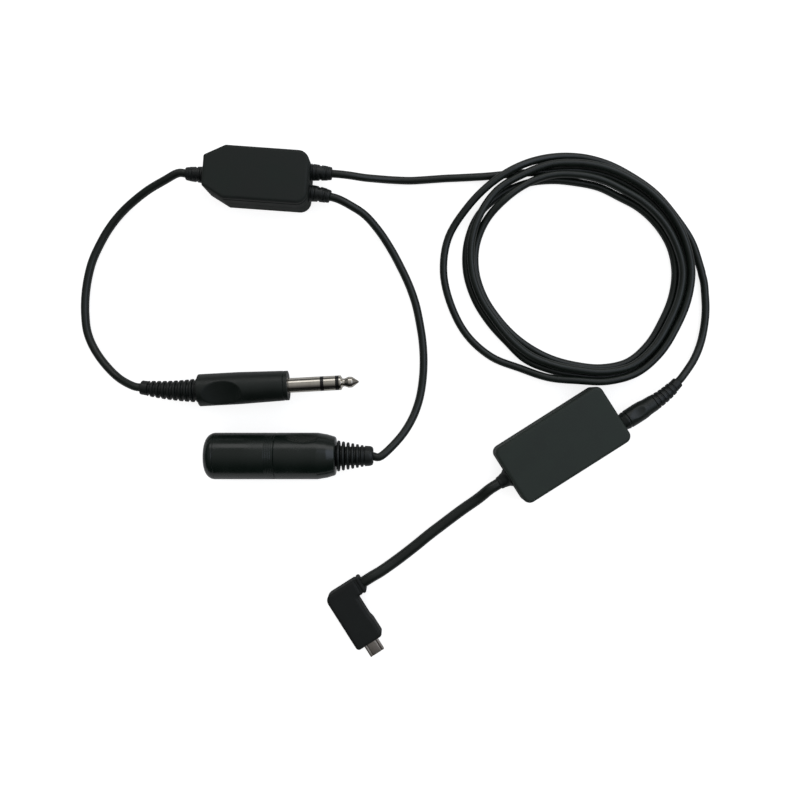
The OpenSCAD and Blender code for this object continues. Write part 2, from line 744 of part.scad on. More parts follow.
mini_stations = concat([[-grip_socket_l, mini_root_r], [0, mini_root_r], [0.2, 3.1]],
                       rib_stations(0.2, mini_relief_l - 3, 3.5, 2.8, mini_ribs, mini_groove),
                       [[mini_relief_l - 3, 2.4], [mini_relief_l - 2.6, 2.65],
                        [mini_relief_l - 0.5, 2.5], [mini_relief_l, 2.1]]);

module mini_plug_strain_relief() {
    color(black_rubber) at_mini() translate([grip_l, 0, 0])
        relief(mini_stations, mini_relief_l, mini_relief_bend);
}

// The pin's collar seats behind the grip's front lip
module at_mini_pin() {
    at_mini() translate([grip_lip, 0, 0]) mirror([1, 0, 0]) children();
}

module mini_plug_sleeve() color(nickel) at_mini_pin() sleeve_part(mini);
module mini_plug_rear_washer() color("#111111") at_mini_pin() rear_washer_part(mini);
module mini_plug_ring() color(nickel) at_mini_pin() ring_part(mini);
module mini_plug_front_washer() color("#111111") at_mini_pin() front_washer_part(mini);
module mini_plug_tip() color(nickel) at_mini_pin() tip_part(mini, mini_r * 0.94);

// ---- Camera adapter ----
adapter_corners = [[adapter_l / 2, -adapter_w / 2, adapter_corner_r],
                   [adapter_l / 2, adapter_w / 2, adapter_corner_r],
                   [-adapter_l / 2, adapter_w / 2, adapter_corner_r],
                   [-adapter_l / 2, -adapter_w / 2, adapter_corner_r]];
adapter_seam_bevel = 0.2;
adapter_lip_h = 1;
socket_nose_r = 3;
socket_l = pin_l(mini) + 2.5;
grommet_neck_r = 3.2;
grommet_root_r = 4.2;
grommet_root_l = 1.4;
adapter_board_t = 1;
adapter_floor = adapter_wall;
adapter_board_z = adapter_floor + 0.8;
socket_bore_r = mini_r + slip;
adapter_board_l = 0.56 * adapter_l;
adapter_board_w = 0.72 * adapter_w;
adapter_board_x = adapter_l / 2 - socket_l - 1.3 - adapter_board_l / 2;

module adapter_lip(play, height) {
    difference() {
        slab(adapter_corners, adapter_wall / 2 + play, adapter_seam_z - 1, adapter_seam_z + height);
        slab(adapter_corners, adapter_wall, adapter_seam_z - 2, adapter_seam_z + height + 1);
    }
}

module adapter_holes() {
    translate([0, 0, adapter_seam_z]) {
        translate([0, -socket_offset, 0])
            disc(socket_nose_r + slip, adapter_l / 2 - adapter_wall - 1, adapter_l / 2 + 1);
        disc(grommet_neck_r + slip, -adapter_l / 2 - 1, -adapter_l / 2 + adapter_wall + 1);
    }
}

module adapter_base() {
    color(black_case) at_adapter() difference() {
        union() {
            difference() {
                moulding(adapter_corners, concat([[adapter_seam_z, adapter_seam_bevel],
                                                  [adapter_seam_z - adapter_seam_bevel, 0]],
                                                 bottom_edge(0, 1)));
                slab(adapter_corners, adapter_wall, adapter_floor, adapter_seam_z + 1);
            }
            adapter_lip(slip, adapter_lip_h);
            for (x = [-1, 1], y = [-1, 1])
                translate([adapter_board_x + 0.4 * x * adapter_board_l,
                           0.4 * y * adapter_board_w, adapter_floor])
                    cylinder(r = 1.5, h = adapter_board_z - adapter_floor);
        }
        adapter_holes();
    }
}

module adapter_cover() {
    color("#2b2f2e") at_adapter() difference() {
        moulding(adapter_corners, concat(top_edge(adapter_h, adapter_edge_r, 4),
                                         [[adapter_seam_z + adapter_seam_bevel, 0],
                                          [adapter_seam_z, adapter_seam_bevel]]));
        slab(adapter_corners, adapter_wall, adapter_seam_z - 1, adapter_h - adapter_wall);
        slab(adapter_corners, adapter_wall / 2, adapter_seam_z - 1, adapter_seam_z + adapter_lip_h + slip);
        adapter_holes();
    }
}

module adapter_board() {
    color(board_green) at_adapter()
        translate([adapter_board_x - adapter_board_l / 2, -adapter_board_w / 2, adapter_board_z])
            cube([adapter_board_l, adapter_board_w, adapter_board_t]);
}

module adapter_components() {
    z = adapter_board_z + adapter_board_t;
    l = adapter_board_l;
    w = adapter_board_w;
    chip = 0.2 * l;
    color("#1a1a1a") at_adapter() translate([adapter_board_x, 0, z]) {
        translate([-chip, -chip / 2, 0]) cube([chip, chip, 1.4]);
        for (i = [-1 : 1]) translate([0.13 * l, (0.25 * i - 0.1) * w, 0]) cylinder(r = 0.1 * w, h = 3);
        for (i = [0 : 3]) translate([-0.43 * l, (0.175 * i - 0.3) * w, 0]) cube([0.075 * l, 0.07 * w, 0.9]);
    }
}

// The socket block: square behind the wall, with a round nose in the wall's
// hole and a bore that the mini plug's pin runs in
module adapter_socket() {
    inner_x = adapter_l / 2 - adapter_wall;
    color("#2f2f2d") at_adapter() translate([0, -socket_offset, adapter_seam_z]) difference() {
        union() {
            disc(socket_nose_r, inner_x - 1, adapter_l / 2);
            intersection() {
                translate([adapter_l / 2 - socket_l, -socket_s / 2, -socket_s / 2])
                    cube([socket_l - adapter_wall, socket_s, socket_s]);
                translate([0, socket_offset, -adapter_seam_z])
                    slab(adapter_corners, adapter_wall, 0, adapter_h);
            }
        }
        disc(socket_bore_r, adapter_l / 2 - socket_l + 1, adapter_l / 2 + 1);
        for (x = [4.5, 9, 13])
            translate([adapter_l / 2 - x - 0.8, -0.8, 0]) cube([1.6, 1.6, socket_s]);
    }
}

// Three leaf contacts that reach down the socket's slots to the bore's wall
module adapter_socket_springs() {
    low = socket_bore_r + 0.25;
    color("#c9b26a") at_adapter() translate([0, -socket_offset, adapter_seam_z])
        for (x = [4.5, 9, 13])
            translate([adapter_l / 2 - x - 0.4, -0.6, low]) {
                cube([0.8, 1.2, socket_s / 2 - low + 0.4]);
                translate([-2.2, 0, socket_s / 2 - low]) cube([3, 1.2, 0.4]);
            }
}

module adapter_grommet() {
    color(black_rubber) at_adapter() translate([-adapter_l / 2, 0, adapter_seam_z]) mirror([1, 0, 0])
        lathe([[0, -adapter_wall - grommet_root_l], [grommet_root_r, -adapter_wall - grommet_root_l],
               [grommet_root_r, -adapter_wall], [grommet_neck_r, -adapter_wall],
               [grommet_neck_r, 0], [grommet_r0, 0], [grommet_r0, 0.6],
               [grommet_r0 - 0.7, 0.3 * grommet_l], [camera_d / 2 + 0.45, 0.75 * grommet_l],
               [camera_d / 2 + 0.3, grommet_l], [0, grommet_l]]);
}

// ---- Right-angle USB plug ----
// Local frame: the cord leaves the arm's end at the origin, towards +X; the arm
// runs back along -X and the leg turns off towards -Y
usb_neck_w = usb_leg_w - 0.5;
usb_head_l = 8;
usb_mid_z = usb_t / 2;
usb_outer_r = 3.3;
usb_collar_l = 1.6;
usb_shell_wall = 0.3;
usb_shell_root = 5;

module at_usb() {
    translate([usb_at.x, usb_at.y, 0]) rotate(usb_yaw) children();
}

usb_x1 = -usb_arm_l + usb_leg_w / 2;          // inner side of the leg's head
usb_x0 = -usb_arm_l - usb_leg_w / 2;          // outer side of the leg
usb_y1 = usb_arm_w / 2;                       // outer side of the arm
usb_end_y = usb_y1 - usb_leg_l;               // front face of the leg
usb_corners = [[usb_x0, usb_end_y, 1.5], [usb_x1, usb_end_y, 1.8],
               [usb_x1, usb_end_y + usb_head_l, 3],
               [usb_x1 - (usb_leg_w - usb_neck_w), usb_end_y + usb_head_l + 2.2, 3],
               [usb_x1 - (usb_leg_w - usb_neck_w), -usb_arm_w / 2, 2],
               [0, -usb_arm_w / 2, 0.8], [0, usb_y1, 0.8], [usb_x0, usb_y1, usb_outer_r]];

module usb_overmould() {
    color(black_case) at_usb() difference() {
        moulding(usb_corners, concat(top_edge(usb_t, 1.4, 4), bottom_edge(0, 1, 3)));
        translate([-usb_arm_l, usb_end_y + usb_shell_root / 2 - 0.5, usb_mid_z])
            cube([usb_shell_w + 2 * slip, usb_shell_root + 1, usb_shell_h + 2 * slip], center = true);
        for (side = [0, 1])
            translate([-usb_collar_l - 0.5, -usb_arm_w / 2 - 1, side * usb_t - 0.35])
                cube([0.5, usb_arm_w + 2, 0.7]);
    }
}

// Section of the metal shell: wide above, drawn in below
function shell_section(w, h, inset) =
    let (a = w / 2 - inset, b = h / 2 - inset, c = 0.9)
    [[-a, b], [a, b], [a, -0.1 * h], [a - c, -b], [-a + c, -b], [-a, -0.1 * h]];

module at_usb_shell() {
    at_usb() translate([-usb_arm_l, usb_end_y, usb_mid_z]) children();
}

module shell_block(inset, y0, y1) {
    translate([0, y0, 0]) rotate([-90, 0, 0]) linear_extrude(y1 - y0)
        mirror([0, 1]) polygon(shell_section(usb_shell_w, usb_shell_h, inset));
}

module usb_shell() {
    color(steel) at_usb_shell() difference() {
        shell_block(0, -usb_shell_out, usb_shell_root - 1);
        shell_block(usb_shell_wall, -usb_shell_out - 1, usb_shell_root);
        for (x = [-1, 1])
            translate([x * 1.7, -usb_shell_out * 0.55, usb_shell_h / 2]) cube([0.8, 1.6, 2], center = true);
    }
}

usb_tongue_t = 1.1;
usb_contact_t = 0.15;

module usb_tongue() {
    color("#161616") at_usb_shell() {
        shell_block(usb_shell_wall, 0, usb_shell_root - 1);
        translate([-2.4, -usb_shell_out + 0.6, -usb_tongue_t / 2])
            cube([4.8, usb_shell_out - 0.6, usb_tongue_t]);
    }
}

module usb_contacts() {
    color("#c9b26a") at_usb_shell()
        for (i = [-2 : 2])
            translate([i * 0.8 - 0.2, -usb_shell_out + 0.9, usb_tongue_t / 2])
                cube([0.4, usb_shell_out - 0.9, usb_contact_t]);
}

// ---- Cords ----
// A route is a list of [x, y, lift]: lift is how far the cord's underside is
// above the table. Its ends are [place, heading] at the pieces that it meets.
function placed(at, yaw, z, p) =
    [at.x + p.x * cos(yaw) - p.y * sin(yaw), at.y + p.x * sin(yaw) + p.y * cos(yaw), z + p.z];

function exit_end(e) =
    [placed([e[0], e[1]], e[2], case_seam_z, arc_at(exit_l, exit_l, e[3])), heading(e[2] + e[3])];

plug_end = [placed(plug_at, plug_yaw + 180, handle_r,
                   arc_at(plug_relief_l, plug_relief_l, -plug_relief_bend)),
            heading(plug_yaw + 180 - plug_relief_bend)];
jack_end = [placed(jack_at, jack_yaw, jack_r, [barrel_l + cap_l + jack_relief_l, 0, 0]), heading(jack_yaw)];
mini_end = [placed(adapter_at, adapter_yaw, adapter_seam_z,
                   [adapter_l / 2 + joint_gap + grip_l, -socket_offset, 0]
                   + arc_at(mini_relief_l, mini_relief_l, mini_relief_bend)),
            heading(adapter_yaw + mini_relief_bend)];
grommet_end = [placed(adapter_at, adapter_yaw, adapter_seam_z, [-adapter_l / 2 - grommet_l, 0, 0]),
               heading(adapter_yaw + 180)];
usb_end = [[usb_at.x, usb_at.y, usb_mid_z], heading(usb_yaw)];

// Whole centreline: out of one end, along the route, into the other end
function centreline(from, route, to, d) =
    concat([from[0], from[0] + d * from[1]], [for (p = route) [p.x, p.y, d / 2 + p.z]],
           [to[0] + d * to[1], to[0]]);

// Direction of a polyline at point i
function along(c, i) = unit(c[min(i + 1, len(c) - 1)] - c[max(i - 1, 0)]);

module cord(c, d, sides) {
    color(black_cord) skin([for (i = [0 : len(c) - 1]) ring(c[i], along(c, i), d / 2, sides)]);
}

// The plug's lead, as [share of its swing past the box, y, lift]
plug_way = [[0.356, -3.2, 6.3], [0.502, -7.4, 4.2], [0.639, -12.6, 2.1], [0.746, -17.8, 0.6],
             [0.834, -24, 0], [0.902, -31, 0], [0.961, -39, 0], [0.99, -47, 0], [1, -55, 0],
             [0.99, -63, 0], [0.961, -70.5, 0], [0.893, -77.5, 0], [0.785, -84, 0.7],
             [0.649, -89.5, 2.4]];
plug_route = [for (p = plug_way) [-case_l / 2 - p.x * plug_swing, p.y, p.z]];
jack_route = [[39.5, -8, 6.2], [46.5, -11.5, 4], [53, -17.5, 1.5], [58.5, -24.5, 0.2],
              [63, -31.5, 0], [67.5, -39.5, 0], [71, -47.5, 0], [73.5, -56, 0], [75.5, -65, 0],
              [76.5, -74, 0], [76.5, -82.5, 0], [75.5, -90.5, 0.7], [73, -98.5, 2.6],
              [68.5, -106.5, 5.2]];
recorder_route = [[39, 4.5, 6.6], [45, 4.5, 4.8], [51, 5, 2.5], [58, 5.5, 0.7], [65.5, 6, 0],
                  [73, 7, 0], [80, 8, 0]];
tail_route = [[197.2, -33, 0], [198.15, -41, 0], [198, -48.5, 0.1], [196.6, -56.3, 0.9],
              [193.6, -63.8, 2.4]];
// The camera's lead, as [share of the way from the USB plug, distance to its left, lift]
camera_way = [[0.13, -0.8, 1.2], [0.25, -1.12, 0.4], [0.37, -0.98, 0], [0.49, -0.6, 0],
              [0.61, -0.4, 0], [0.73, -0.27, 0.4], [0.85, -0.3, 1.7]];
camera_span = [grommet_end[0].x - usb_at.x, grommet_end[0].y - usb_at.y];
camera_route = [for (p = camera_way)
                   let (left = [-camera_span.y, camera_span.x] / norm(camera_span),
                        at = usb_at + p.x * camera_span + p.y * left)
                   [at.x, at.y, p.z]];

// ---- The coil ----
// Four and a quarter turns, clockwise from above, counted in hours of 30
// degrees from the top of the coil. Two turns spiral in on the table and two
// spiral out on top of them. The last one comes down to the table outside,
// passes over the entering strand and leaves.
coil_top = 94.1;      // heading of the coil's top, hour 0
coil_turns = 4.25;
// Radius of the inner lane at each hour of the clock
coil_lane_r = [43, 41.5, 42, 43.5, 43.5, 45.5, 41, 39, 40, 44, 46, 44.5];
// How far outside that lane the strand runs, in pitches, against the hour
coil_offset = [[-1, 1.41], [-0.5, 0.47], [0, 0.41], [1, 0.7], [2, 0.95], [3, 1], [6, 1.05], [7, 1.36],
               [7.5, 1.02], [9.5, 1.02], [10, 0.9], [10.5, 0.5], [11, 0.06], [11.5, -0.54],
               [12, -0.95], [13, -0.91], [13.5, -0.54], [14, -0.22], [14.5, 0], [21.5, 0],
               [22, -0.15], [22.5, -0.3], [23, -0.2], [23.5, -0.2], [24, -0.36], [25, -0.35],
               [26, 0.15], [27, 0.5], [30, 0.5], [31, 0.8], [32, 0.5], [33, 0.5], [34, 0.77],
               [34.5, 1.02], [35, 0.93], [35.5, 1], [36, 0.95], [37, 1.15], [38, 1.4], [39, 1.47],
               [41, 1.47], [42, 1.7], [42.5, 2.14], [43, 2.52], [43.5, 3.45], [44, 3.92],
               [44.5, 3.79], [45, 3.62], [45.5, 3.24], [46, 2.4], [46.5, 2.04], [47, 1.94],
               [48, 1.92], [49, 1.77], [50, 1.96], [50.5, 2.44], [51, 3]];
// Height above the table, in rises, against the hour
coil_lift = [[21.5, 0], [22, 0.35], [22.5, 0.97], [23, 1], [41.5, 1], [42, 0.85], [42.5, 0.5],
             [43, 0.1], [43.5, 0], [45.5, 0], [46, 0.6], [46.5, 1.02], [47, 1.02], [47.5, 0.4],
             [48, 0]];

// Radius of the inner lane at any hour, as a smooth curve through the hours
function lane_r(h) =
    let (k = floor(h), t = h - k, r = [for (i = [11 : 14]) coil_lane_r[(k + i + 12) % 12]])
    r[1] + 0.5 * t * (r[2] - r[0] + t * (2 * r[0] - 5 * r[1] + 4 * r[2] - r[3]
                                         + t * (3 * (r[1] - r[2]) + r[3] - r[0])));

function coil_point(h) =
    let (r = lane_r(h) + strand_pitch * lookup(h, coil_offset), a = coil_top - 30 * h)
    [coil_at.x + r * cos(a), coil_at.y + r * sin(a),
     recorder_d / 2 + strand_rise * lookup(h, coil_lift)];

coil_in = [[88.5, 9, recorder_d / 2], heading(coil_in_heading)];
coil_out = [[195.5, -26, recorder_d / 2], heading(coil_out_heading)];

coil_line = concat([coil_in[0], coil_in[0] - recorder_d * coil_in[1], [99.5, 10.45, recorder_d / 2]],
                   [for (h = [-1 : 0.5 : 12 * coil_turns - 0.5]) coil_point(h)],
                   [coil_out[0] + recorder_d * coil_out[1], coil_out[0]]);

// Least distance of the coil from itself, measured between points set along it
// a quarter of a step apart and at least half a turn apart
function coil_gap() =
    let (fine = [for (i = [0 : len(coil_line) - 2], t = [0, 0.25, 0.5, 0.75])
                    (1 - t) * coil_line[i] + t * coil_line[i + 1]])
    min([for (i = [0 : len(fine) - 50], j = [i + 48 : len(fine) - 1]) norm(fine[i] - fine[j])]) - recorder_d;

module recorder_coil() {
    echo(coil_least_gap_mm = coil_gap());
    cord(coil_line, recorder_d, 6);
}

module lead(from, route, to, d) {
    cord(centreline(from, route, to, d), d, 8);
}

module lead_to_plug() lead(exit_end(plug_exit), plug_route, plug_end, lead_d);
module lead_to_jack() lead(exit_end(jack_exit), jack_route, jack_end, lead_d);
module recorder_lead() lead(exit_end(recorder_exit), recorder_route, coil_in, recorder_d);
module recorder_tail() lead([coil_out[0], -coil_out[1]], tail_route, mini_end, recorder_d);
module camera_lead() lead(usb_end, camera_route, grommet_end, camera_d);

// ---- Every piece ----
splitter_base();
splitter_cover();
splitter_board();
splitter_transformer();
splitter_components();
plug_lead_exit();
jack_lead_exit();
recorder_lead_exit();
plug_handle();
plug_strain_relief();
plug_sleeve();
plug_ring();
plug_tip();
plug_rear_washer();
plug_front_washer();
jack_barrel();
jack_rear_cap();
jack_bushing();
jack_carrier();
jack_tip_spring();
jack_ring_spring();
jack_strain_relief();
mini_plug_grip();
mini_plug_strain_relief();
mini_plug_sleeve();
mini_plug_ring();
mini_plug_tip();
mini_plug_rear_washer();
mini_plug_front_washer();
adapter_base();
adapter_cover();
adapter_board();
adapter_components();
adapter_socket();
adapter_socket_springs();
adapter_grommet();
usb_overmould();
usb_shell();
usb_tongue();
usb_contacts();
lead_to_plug();
lead_to_jack();
recorder_lead();
recorder_coil();
recorder_tail();
camera_lead();
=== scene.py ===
"""Looks of an audio adapter lead set for an aviation headset.

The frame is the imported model's, in metres: the origin is the centre of the
splitter box's underside, +X runs along the box towards its two leads, +Z is
up and z = 0 is the table. Sizes inside the classes are in millimetres.
"""

import logging
import math
from dataclasses import dataclass
from enum import Enum

import bmesh
import bpy
import numpy as np
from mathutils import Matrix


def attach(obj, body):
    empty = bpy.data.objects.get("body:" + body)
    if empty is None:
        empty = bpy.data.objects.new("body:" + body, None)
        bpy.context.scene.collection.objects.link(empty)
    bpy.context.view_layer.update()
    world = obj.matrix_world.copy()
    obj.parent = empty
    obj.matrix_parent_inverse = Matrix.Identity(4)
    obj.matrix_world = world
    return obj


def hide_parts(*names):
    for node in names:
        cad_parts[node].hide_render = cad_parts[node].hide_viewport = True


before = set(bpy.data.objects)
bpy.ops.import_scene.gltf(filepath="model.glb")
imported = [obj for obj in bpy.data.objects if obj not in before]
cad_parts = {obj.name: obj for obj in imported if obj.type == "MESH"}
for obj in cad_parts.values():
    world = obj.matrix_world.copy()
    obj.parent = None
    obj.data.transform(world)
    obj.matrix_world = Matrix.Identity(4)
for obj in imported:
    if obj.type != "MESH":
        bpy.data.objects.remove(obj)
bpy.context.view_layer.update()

LOG = logging.getLogger("lead_set")
MM = 0.001
MERGE = 2e-6  # metres between points that become one
FAR = 99.0  # millimetres past every skin
SHARP = 0.02  # corner radius that keeps a profile's corner crisp
PLAY = 0.05  # clearance of a lip, in millimetres


class Body(Enum):
    """The two bodies that move apart when the camera adapter is unplugged."""

    HARNESS = "harness"
    ADAPTER = "camera_adapter"


class Ends(Enum):
    """How a surface made of rings is closed."""

    CAPPED = "a flat face on the first and on the last ring"
    JOINED = "the last ring meets the first"


class Grain(Enum):
    """How a surface was made, which sets its fine pattern."""

    SPARKED = "mould face eroded by sparks: an even fine pebble"
    POURED = "soft overmould: low broad waves with a fine tooth"
    DRAWN = "extruded jacket: lines along the cord over twisted cores"
    TURNED = "turned on a lathe: rings about the piece's own axis"
    ROLLED = "sheet rolled and bent: streaks along the piece"
    LAYERED = "stacked laminations"
    ETCHED = "printed board: copper lines under a solder mask"


# ---- Places and shapes ----
@dataclass(frozen=True)
class Place:
    """A local frame: a point in millimetres and a turn about +Z in degrees."""

    x: float
    y: float
    z: float = 0.0
    turn: float = 0.0

    def mm(self, points: np.ndarray) -> np.ndarray:
        """Turn local points about +Z and shift them, in millimetres."""
        c, s = math.cos(math.radians(self.turn)), math.sin(math.radians(self.turn))
        return points @ np.array([[c, s, 0], [-s, c, 0], [0, 0, 1]]) + [self.x, self.y, self.z]

    def metres(self, points: np.ndarray) -> np.ndarray:
        """Turn local points about +Z and shift them, in metres."""
        return self.mm(points) * MM

    def shifted(self, x: float, y: float = 0.0, turn: float = 0.0) -> "Place":
        """A frame at local point (x, y) of this one, turned further."""
        at = self.mm(np.array([x, y, 0.0]))
        return Place(at[0], at[1], at[2], self.turn + turn)


def heading(degrees: float) -> np.ndarray:
    """Unit vector in the table's plane at that angle from +X."""
    return np.array([math.cos(math.radians(degrees)), math.sin(math.radians(degrees)), 0.0])


@dataclass
class Surface:
    """A grid of points, one ring per row, whose rows run round the form.

    Attributes:
        grid: points in metres, shape (rings, sides, 3).
        ends: how the first and last rings are closed.
        run: distance of each ring along the form in metres, where a pattern
            follows it.
    """

    grid: np.ndarray
    ends: Ends = Ends.CAPPED
    run: np.ndarray | None = None

    def faces(self) -> tuple[np.ndarray, list[list[int]]]:
        """Quads between neighbouring rings, and the end faces.

        Returns:
            An array of quads by vertex index, and the caps as lists.
        """
        n, m = self.grid.shape[:2]
        index = np.arange(n * m).reshape(n, m)
        rows = index if self.ends is Ends.CAPPED else np.vstack([index, index[:1]])
        here, there = rows[:-1], rows[1:]
        quads = np.stack([here, np.roll(here, -1, 1), np.roll(there, -1, 1), there], -1)
        caps = [index[0][::-1].tolist(), index[-1].tolist()] if self.ends is Ends.CAPPED else []
        return quads.reshape(-1, 4), caps

    def flow(self) -> np.ndarray:
        """Corner coordinates of the quads: share of the way round, metres along.

        Returns:
            An array of shape (rings - 1, sides, 4, 2).
        """
        n, m = self.grid.shape[:2]
        u, v = np.meshgrid(np.arange(m) / m, self.run)
        here, there = v[:-1], v[1:]
        u, past = u[:-1], u[:-1] + 1 / m
        return np.stack([np.stack([u, here], -1), np.stack([past, here], -1),
                         np.stack([past, there], -1), np.stack([u, there], -1)], 2)


def rounded(corners: np.ndarray, steps: int = 6) -> np.ndarray:
    """Round the corners of a closed polygon given as rows (x, y, radius).

    Each corner becomes a circular arc, written as the weighted mean of the
    corner and the two points at radius * tan(half turn) from it along its
    sides: weights 2t(1-t)cos(half turn), (1-t)^2 and t^2.

    Args:
        corners: the polygon, with a radius for each corner.
        steps: pieces per arc.

    Returns:
        The outline's points, steps + 1 for each corner.
    """
    at, radius = corners[:, :2], corners[:, 2:]
    back, on = np.roll(at, 1, 0) - at, np.roll(at, -1, 0) - at
    long_back = np.linalg.norm(back, axis=1, keepdims=True)
    long_on = np.linalg.norm(on, axis=1, keepdims=True)
    cosine = -(back * on).sum(1, keepdims=True) / (long_back * long_on)
    half = np.arccos(np.clip(cosine, -1, 1)) / 2
    reach = np.minimum(radius * np.tan(half), 0.49 * np.minimum(long_back, long_on))
    t = np.linspace(0, 1, steps + 1)[None, :, None]
    first, middle, last = (1 - t) ** 2, 2 * t * (1 - t) * np.cos(half)[:, None], t**2
    arc = (first * (at + back / long_back * reach)[:, None] + middle * at[:, None]
           + last * (at + on / long_on * reach)[:, None]) / (first + middle + last)
    return arc.reshape(-1, 2)


def inset(corners: np.ndarray, by: float, steps: int) -> np.ndarray:
    """Outline of an anticlockwise polygon with rounded corners, drawn in.

    A corner moves against the sum of its sides' outward normals by
    by / cos(half turn). Its radius loses that depth where the outline is
    convex and gains it where it is hollow.

    Args:
        corners: rows (x, y, radius).
        by: depth of the inset.
        steps: pieces per rounded corner.

    Returns:
        The outline's points.
    """
    at = corners[:, :2]
    one = at - np.roll(at, 1, 0)
    two = np.roll(at, -1, 0) - at
    one, two = (d / np.linalg.norm(d, axis=1, keepdims=True) for d in (one, two))
    out = np.stack([one[:, 1] + two[:, 1], -one[:, 0] - two[:, 0]], 1)
    out /= (out**2).sum(1, keepdims=True) / 2
    side = np.sign(one[:, 0] * two[:, 1] - one[:, 1] * two[:, 0])
    radius = np.maximum(0.2, corners[:, 2] - side * by)
    return rounded(np.column_stack([at - by * out, radius]), steps)


def moulded(place: Place, corners: np.ndarray, levels: np.ndarray, steps: int = 8) -> Surface:
    """A moulding over one outline, through levels given as rows (inset, height).

    Args:
        place: the outline's frame.
        corners: rows (x, y, radius), anticlockwise.
        levels: one row for each ring.
        steps: pieces per rounded corner.

    Returns:
        The closed surface.
    """
    rings = [np.column_stack([inset(corners, by, steps), np.full(len(corners) * (steps + 1), z)])
             for by, z in levels]
    return Surface(place.metres(np.array(rings)))


def edge(z: float, r: float, up: bool, steps: int = 6) -> list[tuple[float, float]]:
    """Levels of a quarter-round edge, from the flat face to the wall.

    Each level is drawn in by r (1 - sin a), r (1 - cos a) away from the face.

    Args:
        z: height of the flat face.
        r: radius of the edge.
        up: whether the face looks up.
        steps: pieces of the quarter circle.

    Returns:
        Rows (inset, height), with one row on the flat to hold its shading.
    """
    a = np.linspace(0, math.pi / 2, steps + 1)
    drop = r * (1 - np.cos(a)) * (-1 if up else 1)
    return [(r * 2.2, z), (r * 1.2, z)] + list(zip(r * (1 - np.sin(a)), z + drop))


def turned(place: Place, profile: np.ndarray, ends: Ends, sides: int = 72,
           balls: tuple["Ball", ...] = (), skin_r: float = 0.0) -> Surface:
    """A form turned about the local X axis: (x, r cos a, r sin a).

    Args:
        place: the axis' frame.
        profile: rows (x, r, corner radius).
        ends: whether the profile is a closed loop.
        sides: points round the axis.
        balls: hollows cut into the skin.
        skin_r: the skin is where r is more than this.

    Returns:
        The closed surface.
    """
    line = rounded(profile, 5)
    a = np.arange(sides) * 2 * math.pi / sides
    x, r = np.repeat(line[:, :1], sides, 1), np.repeat(line[:, 1:], sides, 1)
    for ball in balls:
        r = np.where(r > skin_r, ball.cut(x, r, a[None, :]), r)
    grid = np.stack([x, r * np.cos(a), r * np.sin(a)], -1)
    return Surface(place.metres(grid), ends)


def finer(profile: list[tuple[float, float, float]], step: float) -> np.ndarray:
    """Add points along a profile's long sides.

    Each side gets whole shares of its length, none longer than step.

    Args:
        profile: rows (x, r, corner radius).
        step: the longest side left.

    Returns:
        The profile with the added points, whose corners stay crisp.
    """
    rows = []
    for here, there in zip(profile, profile[1:]):
        count = max(1, math.ceil(math.dist(here[:2], there[:2]) / step))
        share = np.linspace(0, 1, count, endpoint=False)[1:, None]
        rows += [np.array([here]), (1 - share) * np.array(here) + share * np.array(there)]
        rows[-1][:, 2] = SHARP
    return np.vstack(rows + [np.array([profile[-1]])])


@dataclass(frozen=True)
class Ball:
    """A ball that hollows a turned form.

    Attributes:
        x: its middle along the axis.
        r: its radius.
        out: distance of its centre from the axis.
        turn: angle of its centre about the axis, from local +Y.
        soft: width over which its rim is blended.
    """

    x: float
    r: float
    out: float
    turn: float
    soft: float = 0.35

    def reach(self, x: np.ndarray, d: np.ndarray) -> np.ndarray:
        """Distance from the axis to the ball, along a ray.

        It is out cos d - sqrt(R^2 - (x - middle)^2 - (out sin d)^2).

        Args:
            x: places along the axis.
            d: angles of the rays from the ball's centre.

        Returns:
            Millimetres, and FAR where the ray misses.
        """
        inside = self.r**2 - (x - self.x) ** 2 - (self.out * np.sin(d)) ** 2
        near = self.out * np.cos(d) - np.sqrt(np.maximum(inside, 0))
        return np.where((inside > 0) & (np.cos(d) > 0), near, FAR)

    def cut(self, x: np.ndarray, r: np.ndarray, a: np.ndarray) -> np.ndarray:
        """Radius that is left: the smooth minimum of r and the reach, of width soft.

        Args:
            x: places along the axis.
            r: radii of the uncut form.
            a: angles about the axis.

        Returns:
            The new radii.
        """
        near = self.reach(x, a - math.radians(self.turn))
        share = np.clip(0.5 + 0.5 * (near - r) / self.soft, 0, 1)
        return near * (1 - share) + r * share - self.soft * share * (1 - share)


@dataclass(frozen=True)
class Facet(Ball):
    """A thumb facet: hollow along the piece and straight across it."""

    SLANT = 0.2  # least cosine at which a ray still meets it

    def reach(self, x: np.ndarray, d: np.ndarray) -> np.ndarray:
        """Distance from the axis: (out - sqrt(R^2 - (x - middle)^2)) / cos d.

        Args:
            x: places along the axis.
            d: angles of the rays from the facet's middle.

        Returns:
            Millimetres, and FAR where the ray misses.
        """
        deep = self.out - np.sqrt(np.maximum(self.r**2 - (x - self.x) ** 2, 0))
        slant = np.cos(d)
        return np.where(slant > self.SLANT, deep / np.maximum(slant, self.SLANT), FAR)


